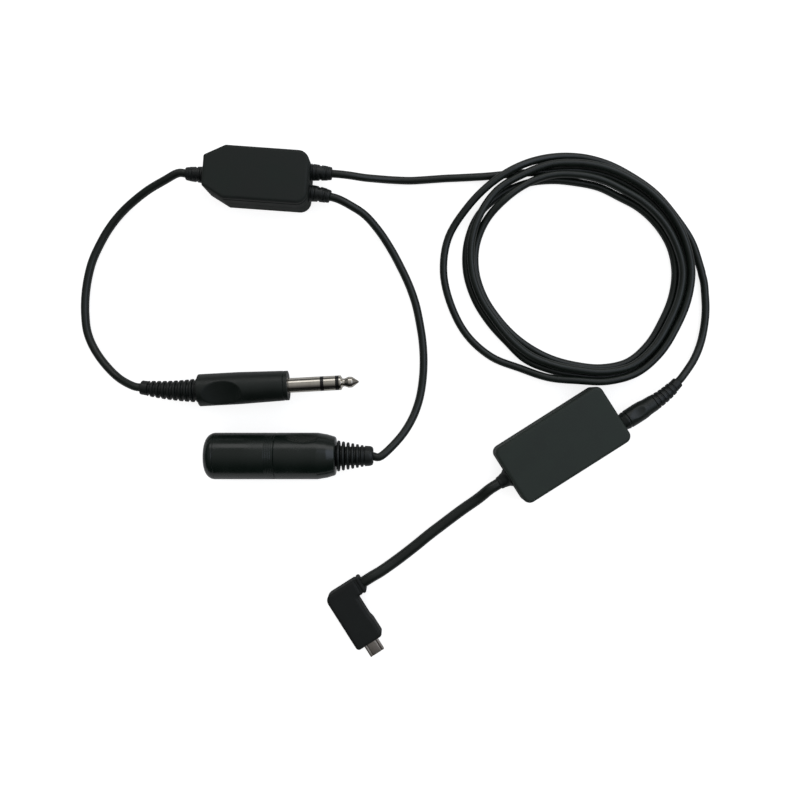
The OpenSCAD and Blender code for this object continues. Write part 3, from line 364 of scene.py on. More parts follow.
def swept(path: np.ndarray, ahead: np.ndarray, radii: np.ndarray, run: bool = False) -> Surface:
    """Rings square to a path: point + r (cos a * side + sin a * up).

    Side is the path's direction crossed with +Z, and up is side crossed with
    the direction.

    Args:
        path: centres in metres, shape (n, 3).
        ahead: directions, shape (n, 3).
        radii: metres, shape (n, sides).
        run: whether the surface carries its distance along the path.

    Returns:
        The closed surface.
    """
    side = np.cross(ahead, [0, 0, 1.0])
    side /= np.linalg.norm(side, axis=1, keepdims=True)
    up = np.cross(side, ahead)
    a = np.arange(radii.shape[1]) * 2 * math.pi / radii.shape[1]
    grid = path[:, None] + radii[..., None] * (np.cos(a)[None, :, None] * side[:, None]
                                               + np.sin(a)[None, :, None] * up[:, None])
    steps = np.linalg.norm(np.diff(path, axis=0), axis=1)
    return Surface(grid, Ends.CAPPED, np.concatenate([[0], np.cumsum(steps)]) if run else None)


def band(s: np.ndarray, start: float, stop: float, soft: float) -> np.ndarray:
    """1 between start and stop and 0 outside, as a difference of two tanh steps."""
    return (np.tanh((s - start) / soft) - np.tanh((s - stop) / soft)) / 2


def fall(t: np.ndarray) -> np.ndarray:
    """Fall of a quarter circle, 0 at t = 0 and 1 at t = 1: 1 - sqrt(1 - t^2)."""
    return 1 - np.sqrt(np.clip(1 - np.clip(t, 0, 1) ** 2, 0, 1))


def bent(place: Place, length: float, bend: float, s: np.ndarray) -> tuple[np.ndarray, np.ndarray]:
    """Centres and directions along a flat arc that starts along local +X.

    At distance s the heading is a = bend s / length, and the point is
    (sin a, 1 - cos a) times the arc's radius; before 0 the line is straight.

    Args:
        place: the arc's frame.
        length: length over which it turns.
        bend: the whole turn in degrees.
        s: distances along it.

    Returns:
        Points in metres and unit directions.
    """
    a = np.radians(bend) * np.maximum(s, 0) / length
    r = length / math.radians(bend) if bend else 0.0
    along = np.where((s > 0) & (bend != 0), r * np.sin(a), s)
    local = np.stack([along, r * (1 - np.cos(a)), 0 * s], -1)
    spin = Place(0, 0, 0, place.turn)
    return place.metres(local), spin.mm(np.stack([np.cos(a), np.sin(a), 0 * s], -1))


def cubic(t: np.ndarray, a: np.ndarray, b: np.ndarray, c: np.ndarray, d: np.ndarray) -> np.ndarray:
    """Smooth curve from b at t = 0 to c at t = 1, a cubic that a and d steer."""
    # b + t/2 times (c - a + t (2a - 5b + 4c - d + t (3 (b - c) + d - a)))
    return b + 0.5 * t * (c - a + t * (2 * a - 5 * b + 4 * c - d + t * (3 * (b - c) + d - a)))


def curve_through(knots: np.ndarray, steps: int) -> np.ndarray:
    """Smooth curve through all knots but the outer two, which steer its ends.

    Args:
        knots: shape (n, 3).
        steps: points for each stretch.

    Returns:
        Points, from the second knot to the last but one.
    """
    t = np.linspace(0, 1, steps, endpoint=False)[None, :, None]
    line = cubic(t, *(knots[i: len(knots) - 3 + i, None] for i in range(4)))
    return np.vstack([line.reshape(-1, 3), knots[-2:-1]])


# ---- Finishes ----
def linear(code: str) -> tuple[float, float, float, float]:
    """An sRGB hex colour as linear light with full opacity."""
    parts = [int(code[i: i + 2], 16) / 255 for i in (1, 3, 5)]
    return (*(c / 12.92 if c <= 0.04045 else ((c + 0.055) / 1.055) ** 2.4 for c in parts), 1.0)


def add(tree: bpy.types.NodeTree, kind: str, inputs: dict | None = None,
        **settings) -> bpy.types.Node:
    """Add a node with its settings and links.

    Args:
        tree: the tree it goes into.
        kind: the node's type, without ShaderNode.
        inputs: for each input, a socket to link, a node whose first output is
            linked, or a value to set.
        settings: properties of the node.

    Returns:
        The node.
    """
    node = tree.nodes.new("ShaderNode" + kind)
    for key, value in settings.items():
        setattr(node, key, value)
    for key, value in (inputs or {}).items():
        if isinstance(value, bpy.types.Node):
            value = value.outputs[0]
        if isinstance(value, bpy.types.NodeSocket):
            tree.links.new(value, node.inputs[key])
        else:
            node.inputs[key].default_value = value
    return node


@dataclass(frozen=True)
class Finish:
    """A real material and how its surface was made.

    Attributes:
        name: what a maker calls it.
        slot: the record's material slot; not used.
        low: its darker colour, as sRGB hex.
        high: its lighter colour.
        rough: least and greatest roughness.
        grain: how the surface was made.
        grain_mm: size of the fine pattern.
        depth_mm: height of the fine pattern.
        patch_mm: size of the broad, faint change of colour and gloss.
        metallic: 1 for bare metal.
        ior: index of refraction of a plastic.
        coat: weight of a clear layer.
    """

    name: str
    slot: str
    low: str
    high: str
    rough: tuple[float, float]
    grain: Grain
    grain_mm: float
    depth_mm: float
    patch_mm: float
    metallic: float = 0.0
    ior: float = 1.5
    coat: float = 0.0

    # die lines round a cord's jacket, length of a turn of its two twisted
    # cores, and how much more than a line a core shows
    DIE_LINES, LAY_MM, CORE_SHARE = 26, 22.0, 3.0
    # how much the fine pattern changes the colour, the span of both patterns
    # from the darker to the lighter colour, and that of the broad one for gloss
    FINE_SHARE, TONE_SPAN, GLOSS_SPAN = 0.35, (0.42, 0.92), (0.3, 0.7)
    COAT_ROUGH = 0.12

    def fine(self, tree: bpy.types.NodeTree, at: bpy.types.NodeSocket) -> bpy.types.NodeSocket:
        """Height of the fine pattern.

        Args:
            tree: the material's nodes.
            at: position in the piece's own frame, in metres.

        Returns:
            A socket from 0 to 1.
        """
        scale = 1 / (self.grain_mm * MM)
        if self.grain is Grain.DRAWN:
            uv = add(tree, "UVMap", uv_map="flow")
            parts = add(tree, "SeparateXYZ", {"Vector": uv})
            lines = add(tree, "Math", {0: parts.outputs["X"], 1: 2 * math.pi * self.DIE_LINES},
                        operation="MULTIPLY")
            lines = add(tree, "Math", {0: lines}, operation="SINE")
            # the cores show through as a slow spiral
            turn = add(tree, "Math", {0: parts.outputs["X"], 1: 4 * math.pi}, operation="MULTIPLY")
            lay = add(tree, "Math", {0: parts.outputs["Y"], 1: 2 * math.pi / (self.LAY_MM * MM),
                                     2: turn}, operation="MULTIPLY_ADD")
            lay = add(tree, "Math", {0: lay}, operation="SINE")
            both = add(tree, "Math", {0: lay, 1: self.CORE_SHARE, 2: lines},
                       operation="MULTIPLY_ADD")
            top = self.CORE_SHARE + 1
            return add(tree, "MapRange", {"Value": both, "From Min": -top,
                                          "From Max": top}).outputs["Result"]
        if self.grain is Grain.TURNED:
            parts = add(tree, "SeparateXYZ", {"Vector": at})
            return add(tree, "TexNoise", {"W": parts.outputs["X"], "Scale": scale, "Detail": 3.0},
                       noise_dimensions="1D").outputs["Fac"]
        if self.grain is Grain.LAYERED:
            # the node multiplies by 20, so that one band is 2 pi grains long
            return add(tree, "TexWave", {"Vector": at, "Scale": scale / 20, "Distortion": 0.2},
                       bands_direction="Y").outputs["Fac"]
        if self.grain is Grain.ETCHED:
            white, black = (1, 1, 1, 1), (0, 0, 0, 1)
            return add(tree, "TexBrick", {"Vector": at, "Scale": scale, "Mortar Size": 0.06,
                                          "Color1": white, "Color2": white,
                                          "Mortar": black}).outputs["Fac"]
        if self.grain is Grain.ROLLED:
            at = add(tree, "Mapping", {"Vector": at, "Scale": (1.0, 0.06, 1.0)}).outputs["Vector"]
        return add(tree, "TexNoise", {"Vector": at, "Scale": scale, "Detail": 2.0,
                                      "Roughness": 0.6}).outputs["Fac"]

    def material(self, place: Place) -> bpy.types.Material:
        """Build the finish in a piece's own frame.

        Args:
            place: the frame that turned and rolled patterns follow.

        Returns:
            The material.
        """
        made = bpy.data.materials.new(self.name)
        made.use_nodes = True
        tree = made.node_tree
        tree.nodes.clear()
        where = add(tree, "TexCoord")
        at = add(tree, "Mapping",
                 {"Vector": where.outputs["Object"],
                  "Location": (place.x * MM, place.y * MM, place.z * MM),
                  "Rotation": (0.0, 0.0, math.radians(place.turn))},
                 vector_type="TEXTURE").outputs["Vector"]
        patch = add(tree, "TexNoise", {"Vector": at, "Scale": 1 / (self.patch_mm * MM),
                                       "Detail": 4.0, "Roughness": 0.55}).outputs["Fac"]
        fine = self.fine(tree, at)
        tone = add(tree, "Math", {0: fine, 1: self.FINE_SHARE, 2: patch}, operation="MULTIPLY_ADD")
        tone = add(tree, "MapRange", {"Value": tone, "From Min": self.TONE_SPAN[0],
                                      "From Max": self.TONE_SPAN[1]})
        colour = add(tree, "Mix", {"Factor": tone, 6: linear(self.low), 7: linear(self.high)},
                     data_type="RGBA")
        rough = add(tree, "MapRange", {"Value": patch, "From Min": self.GLOSS_SPAN[0],
                                       "From Max": self.GLOSS_SPAN[1],
                                       "To Min": self.rough[0], "To Max": self.rough[1]})
        bump = add(tree, "Bump", {"Height": fine, "Strength": 1.0, "Distance": self.depth_mm * MM})
        shader = add(tree, "BsdfPrincipled",
                     {"Base Color": colour.outputs[2], "Roughness": rough, "Normal": bump,
                      "Metallic": self.metallic, "Coat Weight": self.coat,
                      "Coat Roughness": self.COAT_ROUGH})
        if not self.metallic:
            shader.inputs["IOR"].default_value = self.ior
        add(tree, "OutputMaterial", {"Surface": shader})
        return made


# Moulded ABS of the splitter box: near black with a green-grey cast, and a
# spark-eroded face that spreads reflections widely
ABS = Finish("abs_moulded_spark_texture", "moulded_black", "#0d1511", "#141f19", (0.64, 0.78),
             Grain.SPARKED, 0.45, 0.012, 14.0)
# The handles come from a smoother mould, so that lamps show on them as bands
HANDLE_ABS = Finish("abs_moulded_satin", "moulded_black", "#09120e", "#0f1914", (0.36, 0.48),
                    Grain.SPARKED, 0.5, 0.006, 12.0)
# The jack's mould was polished further: its lamp band is narrow and bright
JACK_ABS = Finish("abs_moulded_semi_gloss", "moulded_black", "#0d1612", "#131c18", (0.14, 0.3),
                  Grain.SPARKED, 0.5, 0.004, 12.0)
# The USB plug's overmould is a stiffer PVC: darker than the boxes and as matt
MATT_PVC = Finish("pvc_overmould_matte", "moulded_black", "#090e0c", "#0f1513", (0.62, 0.76),
                  Grain.POURED, 0.9, 0.012, 8.0)
# The adapter's ABS has a coarser, flatter texture and looks greyer and duller
ADAPTER_ABS = Finish("abs_moulded_matte_texture", "adapter_black", "#19231d", "#212c26",
                     (0.6, 0.72), Grain.SPARKED, 0.6, 0.02, 11.0)
# Soft PVC overmould of the strain reliefs: a little waxy, darker in its grooves
SOFT_PVC = Finish("pvc_soft_overmould", "soft_black", "#09100e", "#101715", (0.38, 0.52),
                  Grain.POURED, 0.8, 0.015, 6.0)
# Extruded PVC cord jacket: semi-gloss, one soft highlight along the cord
JACKET = Finish("pvc_extruded_jacket", "cord_black", "#0c140f", "#131c17", (0.32, 0.43),
                Grain.DRAWN, 0.4, 0.02, 9.0)
# Bright nickel over turned brass: warm grey mirror with faint tool rings
NICKEL = Finish("nickel_plated_turned_brass", "nickel", "#c9c3b8", "#ddd8ce", (0.1, 0.16),
                Grain.TURNED, 0.35, 0.002, 5.0, metallic=1.0)
# Nickel-plated steel sheet of the connector shell: duller, brownish grey
STEEL = Finish("steel_plated_sheet", "plated_steel", "#b2aaa1", "#c7bfb6", (0.36, 0.5),
               Grain.ROLLED, 0.3, 0.002, 3.0, metallic=1.0)
# Acetal washers between the contacts: deep black and glossy
ACETAL = Finish("acetal_turned_washer", "washer_black", "#070707", "#0e0e0e", (0.2, 0.3),
                Grain.TURNED, 0.3, 0.002, 3.0, ior=1.48)
# Glass-filled PBT carriers inside the jack and the adapter: dark grey, dull
PBT = Finish("pbt_glass_filled", "carrier_grey", "#2a2a28", "#373734", (0.5, 0.64), Grain.SPARKED,
             0.5, 0.01, 4.0, ior=1.57)
# Rolled phosphor bronze leaf contacts: golden brown, streaked along the strip
BRONZE = Finish("phosphor_bronze_rolled_strip", "spring_brass", "#b08d4c", "#cfae69",
                (0.25, 0.38), Grain.ROLLED, 0.3, 0.002, 2.0, metallic=1.0)
# Glass-epoxy board: green solder mask over copper lines on a 1.27 mm grid
BOARD = Finish("fr4_board_green_mask", "circuit_board", "#16402a", "#2c6b45", (0.25, 0.4),
               Grain.ETCHED, 2.54, 0.03, 5.0, ior=1.55, coat=0.3)
# Varnished silicon-steel laminations of the transformer: brown stripes, 0.35 mm
# each and drawn six times as coarse
CORE = Finish("silicon_steel_laminations", "transformer_core", "#4a3a28", "#77603f", (0.35, 0.5),
              Grain.LAYERED, 0.35, 0.05, 3.0, metallic=0.6)
# Dipped epoxy of the film capacitors: smooth ochre lumps
DIPPED = Finish("epoxy_dipped_film_capacitor", "component_film", "#a5763a", "#c79555",
                (0.2, 0.32), Grain.POURED, 1.2, 0.04, 2.5, ior=1.55, coat=0.4)
# Transfer-moulded epoxy of chips: flat black
EPOXY = Finish("epoxy_chip_package", "component_black", "#101010", "#1a1a1a", (0.5, 0.62),
               Grain.SPARKED, 0.3, 0.006, 2.0, ior=1.55)


def build(name: str, surfaces: list[Surface], finish: Finish, place: Place, body: Body,
          nodes: tuple[str, ...], sharp: float = 38.0) -> bpy.types.Object:
    """Make one piece, dress it and tie it to the model.

    Doubles are merged before the normals are turned outwards.

    Args:
        name: the piece's name.
        surfaces: its closed surfaces.
        finish: its material.
        place: the frame its pattern follows.
        body: the body it rides on.
        nodes: the CAD nodes it stands for.
        sharp: angle above which an edge stays sharp, in degrees.

    Returns:
        The object.
    """
    points, faces, base = [], [], 0
    for surface in surfaces:
        quads, caps = surface.faces()
        points.append(surface.grid.reshape(-1, 3))
        faces += (quads + base).tolist() + [[i + base for i in cap] for cap in caps]
        base += len(points[-1])
    mesh = bpy.data.meshes.new(name)
    mesh.from_pydata(np.vstack(points).tolist(), [], faces)
    if surfaces[0].run is not None:
        flow = surfaces[0].flow().reshape(-1, 2)
        corners = np.zeros((len(mesh.loops), 2))
        corners[: len(flow)] = flow
        mesh.uv_layers.new(name="flow").data.foreach_set("uv", corners.ravel())
    work = bmesh.new()
    work.from_mesh(mesh)
    bmesh.ops.remove_doubles(work, verts=work.verts, dist=MERGE)
    bmesh.ops.recalc_face_normals(work, faces=work.faces)
    work.to_mesh(mesh)
    work.free()
    mesh.shade_smooth()
    mesh.set_sharp_from_angle(angle=math.radians(sharp))
    piece = bpy.data.objects.new(name, mesh)
    bpy.context.scene.collection.objects.link(piece)
    mesh.materials.append(finish.material(place))
    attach(piece, body.value)
    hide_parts(*nodes)
    LOG.info("%s: %d faces, for %s", name, len(mesh.polygons), ", ".join(nodes))
    return piece


def dress(finish: Finish, place: Place, *nodes: str) -> None:
    """Give CAD nodes that stay their material.

    Args:
        finish: the material.
        place: the frame its pattern follows.
        nodes: the CAD nodes.
    """
    made = finish.material(place)
    for node in nodes:
        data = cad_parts[node].data
        data.materials.clear()
        data.materials.append(made)
        LOG.info("%s: kept, %s", node, finish.name)


# ---- Strain reliefs shared by several sub-assemblies ----
@dataclass(frozen=True)
class Relief:
    """A moulded strain relief on a flat arc.

    Attributes:
        place: where it leaves its housing, along local +X.
        length: length outside the housing.
        bend: its whole turn in degrees.
        root_r: radius of its root.
        root_l: length of its root inside the housing.
        start_r: outer radius at the housing.
        end_r: outer radius at the end of its ribs.
        tip_r: radius of its tip.
        tip_l: length of its plain tip.
        ribs: number of grooves.
        groove: depth of the grooves.
        open: share of a rib's pitch that is groove.
        flange_r: radius of the flange inside the wall, if it has one.
        flange_x: where that flange ends.
    """

    place: Place
    length: float
    bend: float
    root_r: float
    root_l: float
    start_r: float
    end_r: float
    tip_r: float
    tip_l: float
    ribs: int
    groove: float
    open: float = 0.4
    flange_r: float = 0.0
    flange_x: float = 0.0

    # length of the tip's rounded end, and rounding at the housing
    TIP_ROUND, ROOT_ROUND = 0.5, 0.25
    # where a groove ends, as a share of its pitch, and how soft its flanks are
    GROOVE_END, FLANK = 0.985, 0.045
    # half the gap between two rings at a step, and the spacing of the others
    NEAR, SPACING = 1e-4, 0.11

    def end(self) -> Place:
        """The frame at its tip, where the cord comes out."""
        at, _ = bent(self.place, self.length, self.bend, np.array([self.length]))
        return Place(*(at[0] / MM), self.place.turn + self.bend)

    def outer(self, s: np.ndarray) -> np.ndarray:
        """Radius without grooves: a straight taper, then a plain tip.

        The tip's end is a quarter of an ellipse.

        Args:
            s: distances along it.

        Returns:
            Radii in millimetres.
        """
        ribbed = self.length - self.tip_l
        r = np.interp(s, [0, ribbed, ribbed + 0.15, self.length],
                      [self.start_r, self.end_r, self.tip_r + 0.1, self.tip_r])
        r = r - self.TIP_ROUND * fall((s - self.length + self.TIP_ROUND) / self.TIP_ROUND)
        r = r - self.ROOT_ROUND * fall((self.ROOT_ROUND - s) / self.ROOT_ROUND)
        r = np.where(s < 0, self.root_r, r)
        return np.where(s < self.flange_x, self.flange_r, r) if self.flange_r else r

    def radii(self, s: np.ndarray, a: np.ndarray) -> np.ndarray:
        """Radius at each distance and angle: the taper less a soft band for each groove.

        Args:
            s: distances along it.
            a: angles round it.

        Returns:
            Radii in millimetres, shape (distances, angles).
        """
        ribbed = self.length - self.tip_l
        share = (s / (ribbed / self.ribs)) % 1.0
        cut = band(share, 1 - self.open, self.GROOVE_END, self.FLANK) * (s > 0) * (s < ribbed)
        return (self.outer(s) - self.groove * cut)[:, None] + 0 * a[None, :]

    def surface(self, sides: int = 48) -> Surface:
        """The closed surface, with two close rings at each step of its root.

        Args:
            sides: points round it.

        Returns:
            The surface.
        """
        steps = (0.0, self.flange_x) if self.flange_r else (0.0,)
        s = np.sort(np.concatenate([
            np.linspace(-self.root_l, -0.02, 6),
            [at + gap for at in steps for gap in (-self.NEAR, self.NEAR)],
            np.arange(0.02, self.length - self.TIP_ROUND, self.SPACING),
            np.linspace(self.length - self.TIP_ROUND, self.length, 9)]))
        path, ahead = bent(self.place, self.length, self.bend, s)
        return swept(path, ahead, self.radii(s, np.arange(sides) * 2 * math.pi / sides) * MM)


@dataclass(frozen=True)
class SlottedRelief(Relief):
    """A relief whose grooves are short slots, set in turn above and beside."""

    # where the first slot starts, how much length the slots leave over, and a
    # slot's share of their pitch
    FIRST, SPARE, SLOT = 1.6, 1.4, 0.42
    # rings as (start, stop, depth): one at the wall and one before the tip
    NOTCH, RING = (0.55, 0.95, 0.3), (-1.75, -1.35, 0.18)

    def radii(self, s: np.ndarray, a: np.ndarray) -> np.ndarray:
        """Taper less a notch at the wall, a ring before the tip, and the slots.

        A slot's depth falls off round the axis as a band in the sine or the
        cosine of the angle, so that webs are left between slots.

        Args:
            s: distances along it.
            a: angles round it.

        Returns:
            Radii in millimetres, shape (distances, angles).
        """
        r = self.outer(s)[:, None] + 0 * a[None, :]
        live = (s > 0)[:, None]
        start, stop, depth = self.NOTCH
        r = r - live * depth * band(s, start, stop, 0.06)[:, None]
        pitch = (self.length - self.tip_l - self.SPARE) / self.ribs
        for i in range(self.ribs):
            start = self.FIRST + i * pitch
            along = band(s, start, start + self.SLOT * pitch, 0.08)
            round_it = band(np.abs(np.cos(a) if i % 2 else np.sin(a)), 0.5, 2.0, 0.08)
            r = r - live * self.groove * along[:, None] * round_it[None, :]
        start, stop, depth = self.RING
        return r - live * depth * band(s, self.length + start, self.length + stop, 0.06)[:, None]


# ---- Studio ----
@dataclass
class Studio:
    """Camera, floor and lights: two softboxes, beyond the table and, bluish, to its right.

    Attributes:
        eye: the camera's place in millimetres.
        turn: its turn about the vertical in degrees.
        lens: focal length on a 36 mm sensor.
        glow: brightness that the table adds for the camera.
        mirrored: share of that glow that mirrors see.
        bright_side: direction of the brightest part of the room.
        room: brightness of that part in reflections.
        fill: even brightness of the room on matt surfaces.
        middle: what the lamps face, in metres.
    """

    eye: tuple[float, float, float] = (67.3, -90.3, 346.0)
    turn: float = 4.1
    lens: float = 35.33
    glow: float = 0.78
    mirrored: float = 0.1
    bright_side: tuple[float, float, float] = (0.2, 0.5, 0.84)
    room: float = 0.46
    fill: float = 0.7
    middle: tuple[float, float] = (0.07, -0.08)

    def camera(self) -> None:
        """Look straight down at the table."""
        data = bpy.data.cameras.new("camera")
        data.lens = self.lens
        data.sensor_width = 36.0
        data.clip_start = 0.01
        eye = bpy.data.objects.new("camera", data)
        eye.location = [c * MM for c in self.eye]
        eye.rotation_euler = (0.0, 0.0, math.radians(self.turn))
        bpy.context.scene.collection.objects.link(eye)
        bpy.context.scene.camera = eye

    def floor(self) -> None:
        """A grey table that glows white to the eye and keeps a faint shadow.

        Mirrors see a small share of the glow, so that dark edges stay dark
        against it.
        """
        half, z = 3.0, -0.0001
        mesh = bpy.data.meshes.new("table")
        rim = np.array([[-1, -1, 0], [1, -1, 0], [1, 1, 0], [-1, 1, 0]]) * half + [0, 0, z]
        mesh.from_pydata(rim.tolist(), [], [[0, 1, 2, 3]])
        table = bpy.data.objects.new("table", mesh)
        bpy.context.scene.collection.objects.link(table)
        made = bpy.data.materials.new("white_paper")
        made.use_nodes = True
        tree = made.node_tree
        tree.nodes.clear()
        matt = add(tree, "BsdfDiffuse", {"Color": linear("#b4b4b4")})
        path = add(tree, "LightPath")
        seen = add(tree, "Math", {0: path.outputs["Is Glossy Ray"], 1: self.mirrored,
                                  2: path.outputs["Is Camera Ray"]}, operation="MULTIPLY_ADD")
        seen = add(tree, "Math", {0: seen, 1: path.outputs["Is Transmission Ray"]},
                   operation="MAXIMUM")
        glow = add(tree, "Math", {0: seen, 1: self.glow}, operation="MULTIPLY")
        light = add(tree, "Emission", {"Color": (1, 1, 1, 1), "Strength": glow})
        both = add(tree, "AddShader", {0: matt, 1: light})
        add(tree, "OutputMaterial", {"Surface": both})
        mesh.materials.append(made)

    def world(self) -> None:
        """A dim room, brightest high up on the far side and dark behind the viewer.

        With c the cosine between a direction and the bright side, the room's
        light is room ((c + 0.1) / 1.1)^2. Matt surfaces get an even fill, so
        that colours come out about as written, and the camera sees white.
        """
        world = bpy.data.worlds.new("room")
        bpy.context.scene.world = world
        world.use_nodes = True
        tree = world.node_tree
        tree.nodes.clear()
        where = add(tree, "TexCoord")
        side = add(tree, "VectorMath", {0: where.outputs["Generated"], 1: self.bright_side},
                   operation="DOT_PRODUCT")
        share = add(tree, "MapRange", {"Value": side.outputs["Value"], "From Min": -0.1})
        room = add(tree, "Math", {0: share, 1: 2.0}, operation="POWER")
        room = add(tree, "Math", {0: room, 1: self.room}, operation="MULTIPLY")
        path = add(tree, "LightPath")
        matt = add(tree, "Mix", {"Factor": path.outputs["Is Diffuse Ray"], "A": room,
                                 "B": self.fill})
        seen = add(tree, "Mix", {"Factor": path.outputs["Is Camera Ray"], "A": matt, "B": 1.0})
        back = add(tree, "Background", {"Color": (1, 1, 1, 1), "Strength": seen})
        add(tree, "OutputWorld", {"Surface": back})

    def light(self, name: str, lean: float, side: float, away: float,
              size: tuple[float, float], radiance: float, colour: str) -> None:
        """An oblong soft lamp that faces the middle of the layout.

        Its watts are radiance times pi times its area.

        Args:
            name: the lamp's name.
            lean: degrees from straight above.
            side: heading of the side it leans to, in degrees from +X.
            away: distance in metres.
            size: width and depth in metres.
            radiance: brightness of its face, where 1 is white.
            colour: colour of its light.
        """
        data = bpy.data.lights.new(name, "AREA")
        data.shape = "RECTANGLE"
        data.size, data.size_y = size
        data.energy = radiance * math.pi * size[0] * size[1]
        data.color = linear(colour)[:3]
        lamp = bpy.data.objects.new(name, data)
        a, out = math.radians(lean), heading(side)
        lamp.location = (self.middle[0] + away * math.sin(a) * out[0],
                         self.middle[1] + away * math.sin(a) * out[1], away * math.cos(a))
        lamp.rotation_euler = (-a, 0.0, math.radians(side - 90))
        bpy.context.scene.collection.objects.link(lamp)

    def build(self) -> None:
        """Set up the view, the table and the light."""
        scene = bpy.context.scene
        scene.view_settings.view_transform = "Standard"
        self.camera()
        self.floor()
        self.world()
        self.light("far_softbox", lean=52.0, side=90.0, away=0.8, size=(1.3, 0.3), radiance=1.1,
                   colour="#ffffff")
        self.light("side_softbox", lean=36.0, side=22.0, away=0.8, size=(0.7, 0.4), radiance=1.4,
                   colour="#d3dff5")


# ---- Layout on the table, as the CAD has it ----
PLUG = Place(-19.3, -92.3, 6.95, 7.2)
JACK = Place(-13.8, -120.12, 9.95, 4.1)
BOX = Place(138.1, -104.4, 0.0, 36.5)
USB = Place(56.8, -170.7, 0.0, 36.5)
SOCKET_GAP = 0.3  # between the adapter's wall and the grip
GRIP = Place(*BOX.mm(np.array([26.8 + SOCKET_GAP, -6.4, 6.0])), BOX.turn)
PLUG_RELIEF = Relief(PLUG.shifted(0, 0, 180), length=25.3, bend=-12.0, root_r=3.4, root_l=4.0,
                     start_r=5.25, end_r=3.35, tip_r=3.05, tip_l=3.2, ribs=9, groove=0.85,
                     open=0.5)
MINI_RELIEF = Relief(GRIP.shifted(16.7), length=13.8, bend=17.0, root_r=2.2, root_l=3.0,
                     start_r=3.5, end_r=2.8, tip_r=2.45, tip_l=3.0, ribs=5, groove=0.35, open=0.33)
EXITS = {name: SlottedRelief(Place(x, y, 9.0, turn), length=9.0, bend=bend, root_r=2.8, root_l=3.2,
                             start_r=3.6, end_r=2.95, tip_r=2.7, tip_l=1.3, ribs=3, groove=0.35,
                             flange_r=3.9, flange_x=-1.8)
         for name, x, y, turn, bend in (("plug", -22.25, 0.0, 180.0, 0.0),
                                        ("jack", 22.25, -4.5, 0.0, -12.0),
                                        ("recorder", 22.25, 4.5, 0.0, 0.0))}


